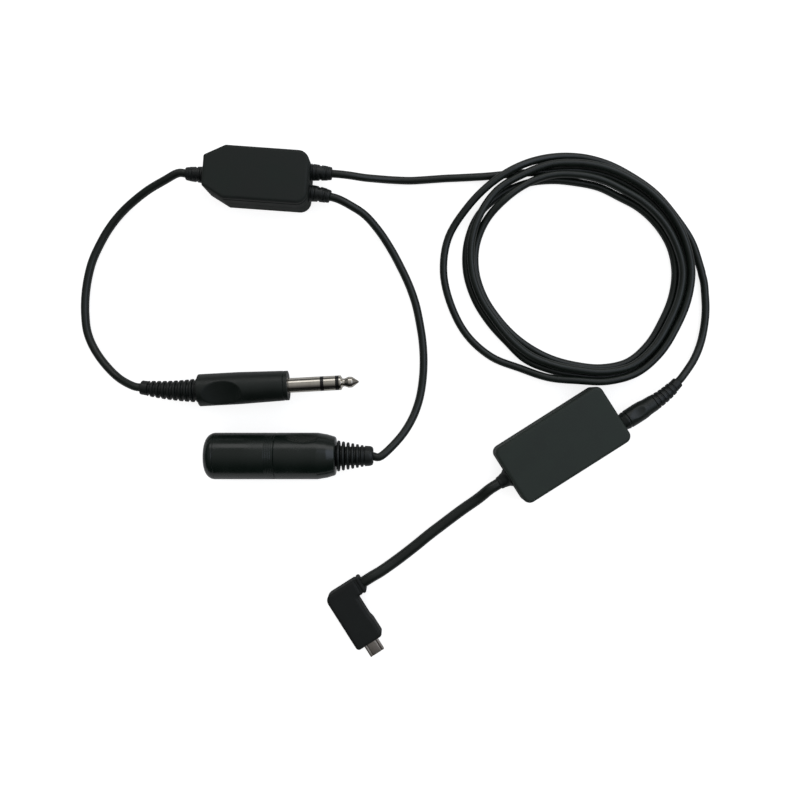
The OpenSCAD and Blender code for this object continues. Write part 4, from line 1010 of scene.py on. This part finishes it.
@dataclass
class Cords:
    """The four cords, from end to end, where the CAD lays them.

    Attributes:
        lead_d: diameter of the leads to the plug and the jack.
        recorder_d: diameter of the long recorder lead.
        camera_d: diameter of the short camera lead.
        coil_mid: middle of the coil.
        coil_top: heading of hour 0 of the coil, in degrees.
        pitch: distance between neighbouring strands.
        rise: height of a strand above the one it lies on.
        jack_l: length of the jack with its relief.
    """

    lead_d: float = 3.5
    recorder_d: float = 3.3
    camera_d: float = 4.8
    coil_mid: tuple[float, float] = (140.3, -28.8)
    coil_top: float = 94.1
    pitch: float = 3.9
    rise: float = 3.75
    jack_l: float = 71.6

    # routes as rows (x, y, height of the cord's underside)
    TO_PLUG = [[-40.5, -3.2, 6.3], [-48, -7.4, 4.2], [-55, -12.6, 2.1], [-60.5, -17.8, 0.6],
               [-65, -24, 0], [-68.5, -31, 0], [-71.5, -39, 0], [-73, -47, 0], [-73.5, -55, 0],
               [-73, -63, 0], [-71.5, -70.5, 0], [-68, -77.5, 0], [-62.5, -84, 0.7],
               [-55.5, -89.5, 2.4]]
    TO_JACK = [[39.5, -8, 6.2], [46.5, -11.5, 4], [53, -17.5, 1.5], [58.5, -24.5, 0.2],
               [63, -31.5, 0], [67.5, -39.5, 0], [71, -47.5, 0], [73.5, -56, 0], [75.5, -65, 0],
               [76.5, -74, 0], [76.5, -82.5, 0], [75.5, -90.5, 0.7], [73, -98.5, 2.6],
               [68.5, -106.5, 5.2]]
    TO_COIL = [[39, 4.5, 6.6], [45, 4.5, 4.8], [51, 5, 2.5], [58, 5.5, 0.7], [65.5, 6, 0],
               [73, 7, 0], [80, 8, 0]]
    TAIL = [[197.2, -33, 0], [198.15, -41, 0], [198, -48.5, 0.1], [196.6, -56.3, 0.9],
            [193.6, -63.8, 2.4]]
    TO_CAMERA = [[64.6, -165.2, 1.2], [71.5, -159.7, 0.4], [78.1, -153.9, 0], [84.5, -147.9, 0],
                 [91.1, -142.1, 0], [97.7, -136.3, 0.4], [104.4, -130.6, 1.7]]
    # the coil: lane radius at each hour of the clock, then how far outside the
    # lane, in pitches, and how high, in rises, the strand runs at each hour
    LANE = (43, 41.5, 42, 43.5, 43.5, 45.5, 41, 39, 40, 44, 46, 44.5)
    OFFSET = [[-1, 1.41], [-0.5, 0.47], [0, 0.41], [1, 0.7], [2, 0.95], [3, 1], [6, 1.05],
              [7, 1.36], [7.5, 1.02], [9.5, 1.02], [10, 0.9], [10.5, 0.5], [11, 0.06],
              [11.5, -0.54], [12, -0.95], [13, -0.91], [13.5, -0.54], [14, -0.22], [14.5, 0],
              [21.5, 0], [22, -0.15], [22.5, -0.3], [23, -0.2], [23.5, -0.2], [24, -0.36],
              [25, -0.35], [26, 0.15], [27, 0.5], [30, 0.5], [31, 0.8], [32, 0.5], [33, 0.5],
              [34, 0.77], [34.5, 1.02], [35, 0.93], [35.5, 1], [36, 0.95], [37, 1.15], [38, 1.4],
              [39, 1.47], [41, 1.47], [42, 1.7], [42.5, 2.14], [43, 2.52], [43.5, 3.45],
              [44, 3.92], [44.5, 3.79], [45, 3.62], [45.5, 3.24], [46, 2.4], [46.5, 2.04],
              [47, 1.94], [48, 1.92], [49, 1.77], [50, 1.96], [50.5, 2.44], [51, 3]]
    LIFT = [[21.5, 0], [22, 0.35], [22.5, 0.97], [23, 1], [41.5, 1], [42, 0.85], [42.5, 0.5],
            [43, 0.1], [43.5, 0], [45.5, 0], [46, 0.6], [46.5, 1.02], [47, 1.02], [47.5, 0.4],
            [48, 0]]

    def coil(self) -> np.ndarray:
        """Knots of the coil, two an hour, clockwise from above.

        The lane is a smooth curve through its radii at the whole hours. The
        radius is the lane plus pitch times the hour's offset, the heading falls
        30 degrees an hour, and the height is the cord's radius plus rise times
        the hour's lift.

        Returns:
            Points of the centreline in millimetres.
        """
        h = np.arange(-1, 50.6, 0.5)
        hour, t = np.floor(h).astype(int), h % 1
        lane = cubic(t, *(np.array(self.LANE)[(hour + i) % 12] for i in (-1, 0, 1, 2)))
        r = lane + self.pitch * np.interp(h, *np.array(self.OFFSET, float).T)
        z = self.recorder_d / 2 + self.rise * np.interp(h, *np.array(self.LIFT, float).T)
        a = np.radians(self.coil_top - 30 * h)
        return np.stack([self.coil_mid[0] + r * np.cos(a), self.coil_mid[1] + r * np.sin(a), z], 1)

    def line(self, start: Place, routes: list[np.ndarray], end: Place, d: float,
             steps: int) -> np.ndarray:
        """Centreline from one strain relief to another, straight at both ends.

        Args:
            start: where the cord leaves its relief.
            routes: knots on the way, in millimetres.
            end: where the cord enters its far end, heading out of it.
            d: the cord's diameter.
            steps: points between knots.

        Returns:
            Points in metres, none lower than the cord's radius.
        """
        (first, ahead), (last, out) = ((np.array([at.x, at.y, at.z]), heading(at.turn))
                                       for at in (start, end))
        knots = np.vstack([first - d * ahead, first - 0.5 * ahead, first + d * ahead, *routes,
                           last + d * out, last - 0.5 * out, last - d * out])
        points = curve_through(knots, steps)
        points[:, 2] = np.maximum(points[:, 2], d / 2)
        return points * MM

    def cord(self, name: str, line: np.ndarray, d: float, sides: int, body: Body,
             nodes: tuple[str, ...]) -> None:
        """Args:
            name: the piece's name.
            line: its centreline in metres.
            d: its diameter in millimetres.
            sides: points round it.
            body: the body it rides on.
            nodes: the CAD nodes it stands for.
        """
        ahead = np.gradient(line, axis=0)
        ahead /= np.linalg.norm(ahead, axis=1, keepdims=True)
        tube = swept(line, ahead, np.full((len(line), sides), d / 2 * MM), run=True)
        piece = build(name, [tube], JACKET, Place(0, 0), body, nodes)

    def build(self) -> None:
        """Lay all four cords."""
        def raised(route: list[list[float]], d: float) -> np.ndarray:
            """Knots at the height of the centreline instead of the underside."""
            return np.array(route) + [0, 0, d / 2]

        d = self.lead_d
        line = self.line(EXITS["plug"].end(), [raised(self.TO_PLUG, d)], PLUG_RELIEF.end(), d, 5)
        self.cord("plug_cord", line, d, 22, Body.HARNESS, ("lead_to_plug",))
        jack_end = JACK.shifted(self.jack_l)
        line = self.line(EXITS["jack"].end(), [raised(self.TO_JACK, d)], jack_end, d, 5)
        self.cord("jack_cord", line, d, 22, Body.HARNESS, ("lead_to_jack",))
        d = self.recorder_d
        # where the coil takes over from the lead, and the tail from the coil
        into, out = heading(187), heading(108)
        first, last = np.array([88.5, 9, d / 2]), np.array([195.5, -26, d / 2])
        coil = np.vstack([first + d * into, first, first - d * into, [99.5, 10.45, d / 2],
                          self.coil(), last + d * out, last, last - d * out])
        routes = [raised(self.TO_COIL, d), coil, raised(self.TAIL, d)]
        line = self.line(EXITS["recorder"].end(), routes, MINI_RELIEF.end(), d, 6)
        self.cord("recorder_cord", line, d, 20, Body.HARNESS,
                  ("recorder_lead", "recorder_coil", "recorder_tail"))
        d = self.camera_d
        box = Place(*BOX.mm(np.array([-31.8, 0.0, 6.0])), BOX.turn + 180)
        usb = Place(USB.x, USB.y, 4.0, USB.turn)
        line = self.line(box, [raised(self.TO_CAMERA[::-1], d)], usb, d, 6)
        self.cord("camera_cord", line, d, 26, Body.ADAPTER, ("camera_lead",))


@dataclass
class MouldedBox:
    """A box of two moulded half shells that meet in a lipped seam.

    Attributes:
        place: its frame.
        body: the body it rides on.
        finish: its material.
        length: the box along its own X.
        width: the box across.
        height: its height.
        wall: its wall.
        seam: height where the halves meet.
        corner_r: corner radius.
        edge_r: rounding of the lid's edge.
        foot_r: rounding of the lower edge.
        bevel: width of the rounded bevel of both halves at the seam.
        crown: how far in from both faces the middle of that bevel lies.
        flank: where the plain wall begins, from the seam.
        lip: height of the lower half's lip.
        inner: bevel of the edges inside.
    """

    place: Place
    body: Body
    finish: Finish
    length: float
    width: float
    height: float
    wall: float
    seam: float
    corner_r: float
    edge_r: float
    foot_r: float
    bevel: float
    crown: float
    flank: float
    lip: float
    inner: float

    def corners(self) -> np.ndarray:
        """Outline of the box, anticlockwise."""
        x, y = self.length / 2, self.width / 2
        return np.array([[*at, self.corner_r] for at in ((x, -y), (x, y), (-x, y), (-x, -y))])

    def lid_wall(self) -> list[tuple[float, float]]:
        """Levels of the lid's outer wall below its edge."""
        return [(0, self.height - self.edge_r - 0.4)]

    def half(self, outer: list[tuple[float, float]], up: int) -> list[tuple[float, float]]:
        """Levels of one half shell, from its outer face over the seam to its inner face.

        Args:
            outer: levels of the flat face, its edge and the wall.
            up: 1 for the lid and -1 for the lower half.

        Returns:
            Rows (inset, height).
        """
        s, w, b, c = self.seam, self.wall, self.bevel, self.inner
        rim, lip, floor = ((w / 2, self.lip + PLAY, self.height - w) if up > 0
                           else (w / 2 + PLAY, self.lip, w))
        return outer + [(0, s + up * self.flank), (0, s + up * b),
                        (self.crown, s + up * self.crown), (b, s), (rim, s), (rim, s + lip),
                        (w, s + lip), (w, floor - up * c), (w + c, floor), (w + 1.2, floor)]

    def halves(self, lower: tuple[str, str], upper: tuple[str, str]) -> None:
        """Build both half shells, each one surface from its outer face round to its inner one.

        Args:
            lower: name of the lower piece, and the CAD node it stands for.
            upper: the same for the lid.
        """
        base = edge(0.0, self.foot_r, False) + [(0, self.foot_r + 0.3)]
        lid = edge(self.height, self.edge_r, True, 8) + self.lid_wall()
        for (name, node), outer, up in ((lower, base, -1), (upper, lid, 1)):
            shell = moulded(self.place, self.corners(), self.half(outer, up))
            build(name, [shell], self.finish, self.place, self.body, (node,))


@dataclass
class Splitter(MouldedBox):
    """The splitter box with its three strain reliefs.

    Attributes:
        bevel_l: length of the bevels at the single-lead end.
        bevel_w: how far they narrow each side.
        bevel_r: corner radius at these bevels.
        line_drop: how far the shadow line lies below the top.
    """

    place: Place = Place(0, 0)
    body: Body = Body.HARNESS
    finish: Finish = ABS
    length: float = 44.5
    width: float = 22.5
    height: float = 18.0
    wall: float = 1.8
    seam: float = 9.0
    corner_r: float = 4.8
    edge_r: float = 1.3
    foot_r: float = 0.8
    bevel: float = 0.25
    crown: float = 0.07
    flank: float = 0.6
    lip: float = 1.2
    inner: float = 0.5
    bevel_l: float = 9.0
    bevel_w: float = 4.8
    bevel_r: float = 1.2
    line_drop: float = 2.5

    def corners(self) -> np.ndarray:
        """Outline of the box, anticlockwise, with two corners bevelled off.

        Returns:
            Rows (x, y, radius).
        """
        x, y, r = self.length / 2, self.width / 2, self.bevel_r
        in_x, in_y = -x + self.bevel_l, y - self.bevel_w
        return np.array([[x, -y, self.corner_r], [x, y, self.corner_r], [in_x, y, r],
                         [-x, in_y, r], [-x, -in_y, r], [in_x, -y, r]])

    def lid_wall(self) -> list[tuple[float, float]]:
        """Levels of the lid's outer wall, with the rounded groove of the shadow line.

        Returns:
            Rows (inset, height).
        """
        line = self.height - self.line_drop
        return [(by, line + dz) for by, dz in (
            (0, 0.5), (0.01, 0.1), (0.1, 0), (0.34, -0.06), (0.42, -0.2), (0.42, -0.9),
            (0.34, -1.02), (0.1, -1.1), (0.01, -1.22), (0, -1.6))]

    def build(self) -> None:
        """Both halves, a slotted relief at each exit, and materials for what is inside."""
        self.halves(("splitter_lower_half", "splitter_base"),
                    ("splitter_lid_half", "splitter_cover"))
        for name, relief in EXITS.items():
            build(f"{name}_exit_relief", [relief.surface(64)], SOFT_PVC, relief.place, self.body,
                  (f"{name}_lead_exit",))
        dress(BOARD, self.place, "splitter_board")
        dress(CORE, self.place, "splitter_transformer")
        dress(DIPPED, self.place, "splitter_components")


@dataclass
class HeadphonePlug:
    """The 6.35 mm three-pole plug with its moulded handle.

    Attributes:
        length: the handle.
        rear_r: radius of the handle at the cord.
        front_r: radius of the handle at the contacts.
        root_r: hole for the relief's root.
        mouth_r: hole for the contacts.
        pocket_r: pocket for the collar of the contacts.
        wire_r: hole for the wires.
        lip_l: length of the lip in front of the pocket.
        scallop_x: middle of the two thumb scallops.
        scallop_depth: how deep they go.
        scallop_turns: their angles about the axis.
        ball_r: radius of their hollow along the handle.
        shank_r: radius of the contacts.
        contacts: lengths of the sleeve, washer, ring and washer before the tip.
        tip_l: length of the tip.
        bulb_r: radius of its bulb.
    """

    length: float = 38.4
    rear_r: float = 6.95
    front_r: float = 6.4
    root_r: float = 3.45
    mouth_r: float = 3.48
    pocket_r: float = 3.85
    wire_r: float = 2.0
    lip_l: float = 1.5
    scallop_x: float = 10.6
    scallop_depth: float = 2.3
    scallop_turns: tuple[float, float] = (110.0, 290.0)
    ball_r: float = 17.0
    shank_r: float = 3.175
    contacts: tuple[float, ...] = (13.9, 1.5, 5.0, 1.5)
    tip_l: float = 8.6
    bulb_r: float = 2.4

    def handle(self) -> None:
        """Tapered handle with a front lip, an inner pocket and two scallops."""
        l, r, f = self.length, self.rear_r, self.front_r
        lip, back = l - self.lip_l, l - self.lip_l - 10
        outside = finer([(0, self.root_r, SHARP), (0, r, 1.2), (0.45 * l, r, 30.0),
                         (l - 2.0, f + 0.05, 0.1), (l - 1.75, f - 0.22, 0.12), (lip, f, 0.1),
                         (l, f, 0.7)], 0.35)
        inside = [(l, self.mouth_r, 0.15), (lip, self.mouth_r, SHARP), (lip, self.pocket_r, SHARP),
                  (back, self.pocket_r, SHARP), (back, self.wire_r, SHARP),
                  (4.0, self.wire_r, SHARP), (4.0, self.root_r, SHARP)]
        out = r - self.scallop_depth + self.ball_r
        hollows = tuple(Facet(self.scallop_x, self.ball_r, out, turn, 0.12)
                        for turn in self.scallop_turns)
        skin = turned(PLUG, np.vstack([outside, inside]), Ends.JOINED, 160, hollows, 4.8)
        build("plug_grip", [skin], HANDLE_ABS, PLUG, Body.HARNESS, ("plug_handle",))

    def tip(self) -> None:
        """Tip contact: collar, narrow waist, bulb and cone, on its centre rod."""
        front = self.length - self.lip_l
        x, l, r, bulb = sum(self.contacts, self.length), self.tip_l, self.shank_r, self.bulb_r
        rod = 0.28 * r
        profile = [(front - 7, 0, 0.0), (front - 7, rod, 0.05), (x, rod, SHARP), (x, r, 0.08),
                   (x + 0.1 * l, r, 0.25), (x + 0.19 * l, 0.56 * r, 0.35),
                   (x + 0.28 * l, 0.54 * r, 0.9), (x + 0.48 * l, bulb, 0.9),
                   (x + 0.66 * l, bulb * 0.97, 0.8), (x + 0.985 * l, 0.12 * r, 0.3),
                   (x + l, 0, 0.0)]
        build("plug_tip_contact", [turned(PLUG, np.array(profile), Ends.CAPPED, 64)], NICKEL, PLUG,
              Body.HARNESS, ("plug_tip",))

    def build(self) -> None:
        """Handle, ribbed relief, tip, and materials for the other contacts."""
        self.handle()
        build("plug_ribbed_relief", [PLUG_RELIEF.surface()], SOFT_PVC, PLUG_RELIEF.place,
              Body.HARNESS, ("plug_strain_relief",))
        self.tip()
        dress(NICKEL, PLUG, "plug_sleeve", "plug_ring")
        dress(ACETAL, PLUG, "plug_rear_washer", "plug_front_washer")


@dataclass
class InlineJack:
    """The in-line socket: front barrel, rear cap and ribbed relief.

    Attributes:
        r: outer radius.
        barrel_l: length of the barrel.
        cap_l: length of the cap.
        nose_l: length of the rounded front end.
        mouth_r: hole for the metal bushing.
        hollow_r: radius inside the barrel.
        spigot_r: radius inside the cap, where the barrel's spigot sits.
        lines: number of fine lines at the barrel's rear.
        line_pitch: distance between them.
        grip_r: radius of the balls that hollow the cap for finger and thumb.
        grip_depth: how deep they go.
        grip_turns: their angles about the axis.
        ribs: number of the relief's rings.
        rib_pitch: distance between them.
    """

    r: float = 9.95
    barrel_l: float = 30.0
    cap_l: float = 25.6
    nose_l: float = 4.2
    mouth_r: float = 5.05
    hollow_r: float = 7.6
    spigot_r: float = 7.55
    lines: int = 5
    line_pitch: float = 0.7
    grip_r: float = 34.0
    grip_depth: float = 0.75
    grip_turns: tuple[float, float] = (32.0, 212.0)
    ribs: int = 6
    rib_pitch: float = 2.0

    def barrel(self) -> None:
        """Barrel with a domed front, a ring line on it, and fine lines at its rear edge."""
        r, l, nose, mouth = self.r, self.barrel_l, self.nose_l, self.mouth_r
        flat = mouth + 0.4
        dome = [(nose * (1 - math.cos(t)), flat + (r - mouth - 0.4) * math.sin(t), 0.3)
                for t in np.linspace(0, math.pi / 2, 10)]
        ring = [(nose + 0.1, r, 0.05), (nose + 0.3, r - 0.14, 0.05), (nose + 0.5, r, 0.05)]
        lines = [(l - 0.4 - self.line_pitch * i + dx, r - cut, 0.04)
                 for i in range(self.lines, 0, -1)
                 for dx, cut in ((-0.16, 0.0), (0.0, 0.09), (0.16, 0.0))]
        inside = [(l - 0.25, r, 0.05), (l, r - 0.25, 0.05), (l, self.hollow_r, 0.05),
                  (4.0, self.hollow_r, 0.2), (4.0, mouth, SHARP), (0, mouth, 0.1)]
        skin = turned(JACK, np.array(dome + ring + lines + inside), Ends.JOINED, 112)
        build("jack_front_barrel", [skin], JACK_ABS, JACK, Body.HARNESS, ("jack_barrel",), 25.0)

    def cap(self) -> None:
        """Rear cap on its spigot, hollowed for finger and thumb, with a shoulder."""
        r, l, x, hole = self.r, self.cap_l, self.barrel_l, self.spigot_r
        end = x + l
        outside = finer([(x, hole, SHARP), (x, r - 0.25, 0.05), (x + 0.25, r, 0.1),
                         (x + 0.7 * l, r, 6.0), (x + 0.86 * l, r - 0.7, 6.0),
                         (end - 0.4, r - 1.65, 0.3), (end, r - 2.1, 0.2)], 0.5)
        inside = [(end, 4.05, 0.1), (end - 5, 4.05, SHARP), (end - 5, hole - 0.9, SHARP),
                  (x - 4, hole - 0.9, SHARP), (x - 4, hole, 0.05)]
        balls = tuple(Ball(x + 0.47 * l, self.grip_r, r - self.grip_depth + self.grip_r, turn)
                      for turn in self.grip_turns)
        skin = turned(JACK, np.vstack([outside, inside]), Ends.JOINED, 112, balls, 7.7)
        build("jack_cap", [skin], JACK_ABS, JACK, Body.HARNESS, ("jack_rear_cap",))

    def relief(self) -> None:
        """Rounded rings on a core, each smaller than the last, then a solid collar."""
        x, pitch = self.barrel_l + self.cap_l, self.rib_pitch
        profile = [(x - 6.5, 0, 0.0), (x - 6.5, 5.4, 0.1), (x - 5, 5.4, 0.1), (x - 5, 4.0, SHARP),
                   (x, 4.0, SHARP)]
        for i in range(self.ribs):
            s, r, core = x + i * pitch, 6.6 - 0.38 * i, max(4.0, 4.7 - 0.35 * i)
            profile += [(s + 0.12, core, 0.1), (s + 0.28 * pitch, core, 0.15),
                        (s + 0.34 * pitch, r - 0.15, 0.25), (s + 0.6 * pitch, r + 0.05, 0.5),
                        (s + 0.86 * pitch, r - 0.15, 0.25), (s + 0.93 * pitch, core, 0.12)]
        profile += [(x + 12.35, 3.95, 0.1), (x + 12.5, 4.4, 0.25), (x + 14.6, 4.25, 1.0),
                    (x + 15.6, 3.9, 0.6), (x + 16, 3.2, 0.25), (x + 16, 0, 0.0)]
        build("jack_ribbed_relief", [turned(JACK, np.array(profile), Ends.CAPPED, 80)], SOFT_PVC,
              JACK, Body.HARNESS, ("jack_strain_relief",))

    def build(self) -> None:
        """Housing, relief, and materials for the contacts inside."""
        self.barrel()
        self.cap()
        self.relief()
        dress(NICKEL, JACK, "jack_bushing")
        dress(PBT, JACK, "jack_carrier")
        dress(BRONZE, JACK, "jack_tip_spring", "jack_ring_spring")


@dataclass
class MiniPlug:
    """The 3.5 mm plug that sits in the camera adapter.

    Attributes:
        length: the grip.
        r: its largest radius.
        ball_r: radius of the balls that flatten it for the fingers.
        flat_depth: how deep they go.
        flat_turns: their angles about the axis.
    """

    length: float = 16.7
    r: float = 4.15
    ball_r: float = 14.0
    flat_depth: float = 0.55
    flat_turns: tuple[float, float] = (80.0, 260.0)

    def build(self) -> None:
        """Grip with a shoulder and finger flats, relief, and contact materials."""
        l, r = self.length, self.r
        outside = finer([(0, 2.05, SHARP), (0, r - 0.7, 0.4), (2.3, r - 0.1, 0.3),
                         (2.6, r - 0.32, 0.12), (2.95, r - 0.32, 0.12), (3.3, r - 0.06, 0.2),
                         (0.5 * l, r, 8.0), (0.66 * l, r - 0.1, 4.0), (0.76 * l, r - 0.4, 3.0),
                         (l - 0.3, r - 0.55, 0.3), (l, r - 0.85, 0.2)], 0.4)
        inside = [(l, 2.25, SHARP), (l - 3, 2.25, SHARP), (l - 3, 1.5, SHARP), (7.8, 1.5, SHARP),
                  (7.8, 2.65, SHARP), (0.8, 2.65, SHARP), (0.8, 2.05, SHARP)]
        balls = tuple(Ball(7.8, self.ball_r, r - self.flat_depth + self.ball_r, turn, 0.2)
                      for turn in self.flat_turns)
        skin = turned(GRIP, np.vstack([outside, inside]), Ends.JOINED, 80, balls, 3.0)
        build("mini_plug_shell", [skin], HANDLE_ABS, GRIP, Body.HARNESS, ("mini_plug_grip",))
        build("mini_plug_ribbed_relief", [MINI_RELIEF.surface()], SOFT_PVC, MINI_RELIEF.place,
              Body.HARNESS, ("mini_plug_strain_relief",))
        dress(NICKEL, GRIP, "mini_plug_sleeve", "mini_plug_ring", "mini_plug_tip")
        dress(ACETAL, GRIP, "mini_plug_rear_washer", "mini_plug_front_washer")


@dataclass
class CameraAdapter(MouldedBox):
    """The flat adapter box with its grommet."""

    place: Place = BOX
    body: Body = Body.ADAPTER
    finish: Finish = ADAPTER_ABS
    length: float = 53.6
    width: float = 27.7
    height: float = 12.0
    wall: float = 1.6
    seam: float = 6.0
    corner_r: float = 3.25
    edge_r: float = 1.5
    foot_r: float = 1.0
    bevel: float = 0.2
    crown: float = 0.06
    flank: float = 0.5
    lip: float = 1.0
    inner: float = 0.4

    def grommet(self) -> None:
        """A trumpet that flares from the cord to the box's wall."""
        place = Place(*BOX.mm(np.array([-self.length / 2, 0.0, self.seam])), BOX.turn + 180)
        profile = [(-3.0, 0, 0.0), (-3.0, 4.2, 0.2), (-1.6, 4.2, SHARP), (-1.6, 3.2, SHARP),
                   (0, 3.2, SHARP), (0, 4.2, SHARP), (0.5, 4.2, 0.25), (1.4, 3.45, 1.6),
                   (3.6, 2.88, 3.0), (4.7, 2.78, 0.3), (5.0, 2.5, 0.2), (5.0, 0, 0.0)]
        build("adapter_cord_grommet", [turned(place, np.array(profile), Ends.CAPPED, 64)],
              SOFT_PVC, place, self.body, ("adapter_grommet",))

    def build(self) -> None:
        """Box, grommet, and materials for the socket and the board."""
        self.halves(("adapter_lower_half", "adapter_base"),
                    ("adapter_upper_half", "adapter_cover"))
        self.grommet()
        dress(PBT, BOX, "adapter_socket")
        dress(BRONZE, BOX, "adapter_socket_springs")
        dress(BOARD, BOX, "adapter_board")
        dress(EPOXY, BOX, "adapter_components")


@dataclass
class UsbPlug:
    """The right-angle mini USB plug.

    Attributes:
        leg_l: length of the leg from the arm's outer side.
        leg_w: width of the leg.
        arm_l: length of the arm beyond the leg's middle line.
        arm_w: width of the arm.
        thick: thickness of the overmould.
        shell_w: width of the metal shell.
        shell_h: height of the metal shell.
        shell_out: how far it stands out.
    """

    leg_l: float = 27.2
    leg_w: float = 13.0
    arm_l: float = 10.8
    arm_w: float = 7.4
    thick: float = 8.0
    shell_w: float = 6.8
    shell_h: float = 3.0
    shell_out: float = 5.6

    def overmould(self) -> None:
        """L-shaped overmould and the collar round the cord, each a rounded form."""
        x0, x1 = -self.arm_l - self.leg_w / 2, -self.arm_l + self.leg_w / 2
        y, t = self.arm_w / 2, self.thick
        end, low = y - self.leg_l, y - 0.35
        corners = np.array([[x0, end, 1.5], [x1, end, 1.8], [x1, end + 8, 3],
                            [x1 - 0.5, end + 10.2, 3], [x1 - 0.5, -y, 2], [-2.1, -y, 0.5],
                            [-2.1, y, 0.5], [x0, y, 3.3]])
        collar = np.array([[-1.6, -y, 0.4], [0, -y, 0.8], [0, y, 0.8], [-1.6, y, 0.4]])
        neck = np.array([[-2.6, -low, 0.3], [-1.0, -low, 0.3], [-1.0, low, 0.3], [-2.6, low, 0.3]])
        forms = []
        for outline, drop, top_r, foot_r in ((corners, 0, 1.4, 1.0), (collar, 0, 0.6, 0.6),
                                             (neck, 0.35, 0.4, 0.4)):
            top, foot = edge(t - drop, top_r, True), edge(drop, foot_r, False)[::-1]
            forms.append(moulded(USB, outline, np.array(top[1:] + foot[:-1]), 6))
        build("usb_angle_overmould", forms, MATT_PVC, USB, Body.ADAPTER, ("usb_overmould",), 30.0)

    def shell(self) -> None:
        """Bent sheet shell, drawn in below, with two shallow grooves along its top.

        The section is a rounded outline. It runs out to the mouth, turns over
        the sheet's edge and comes back along the inside.
        """
        wide, high, out = self.shell_w / 2, self.shell_h / 2, self.shell_out
        dip = high - 0.2
        section = np.array([[-wide, -0.1 * high, 0.5], [-wide + 0.9, -high, 0.4],
                            [wide - 0.9, -high, 0.4], [wide, -0.1 * high, 0.5], [wide, high, 0.45],
                            [2.6, high, 0.1], [2.35, dip, 0.15], [2.05, dip, 0.15],
                            [1.8, high, 0.1], [-1.8, high, 0.1], [-2.05, dip, 0.15],
                            [-2.35, dip, 0.15], [-2.6, high, 0.1], [-wide, high, 0.45]])
        place = Place(*USB.mm(np.array([-self.arm_l, self.arm_w / 2 - self.leg_l, self.thick / 2])),
                      USB.turn)
        # rows (inset, place along the shell)
        rings = [(0.0, 4.0), (0.0, 3.9), (0.0, 0.0), (0.0, -out + 0.12), (0.04, -out + 0.03),
                 (0.15, -out), (0.26, -out + 0.03), (0.3, -out + 0.12), (0.3, 0.0), (0.3, 3.9),
                 (0.3, 4.0)]
        grid = [np.column_stack([ring[:, 0], np.full(len(ring), y), ring[:, 1]])
                for ring, y in ((inset(section, by, 4), y) for by, y in rings)]
        build("usb_sheet_shell", [Surface(place.metres(np.array(grid)), Ends.JOINED)], STEEL, place,
              Body.ADAPTER, ("usb_shell",), 30.0)

    def build(self) -> None:
        """Overmould, shell, and materials for the tongue and its contacts."""
        self.overmould()
        self.shell()
        dress(PBT, USB, "usb_tongue")
        dress(BRONZE, USB, "usb_contacts")


def main() -> None:
    """Build the studio, the cords, then each sub-assembly, and log the sizes."""
    logging.basicConfig(level=logging.INFO, format="%(name)s: %(message)s")
    for part in (Studio(), Cords(), Splitter(), HeadphonePlug(), InlineJack(), MiniPlug(),
                 CameraAdapter(), UsbPlug()):
        LOG.info("building %s", type(part).__name__)
        part.build()


if __name__ == "__main__":
    main()
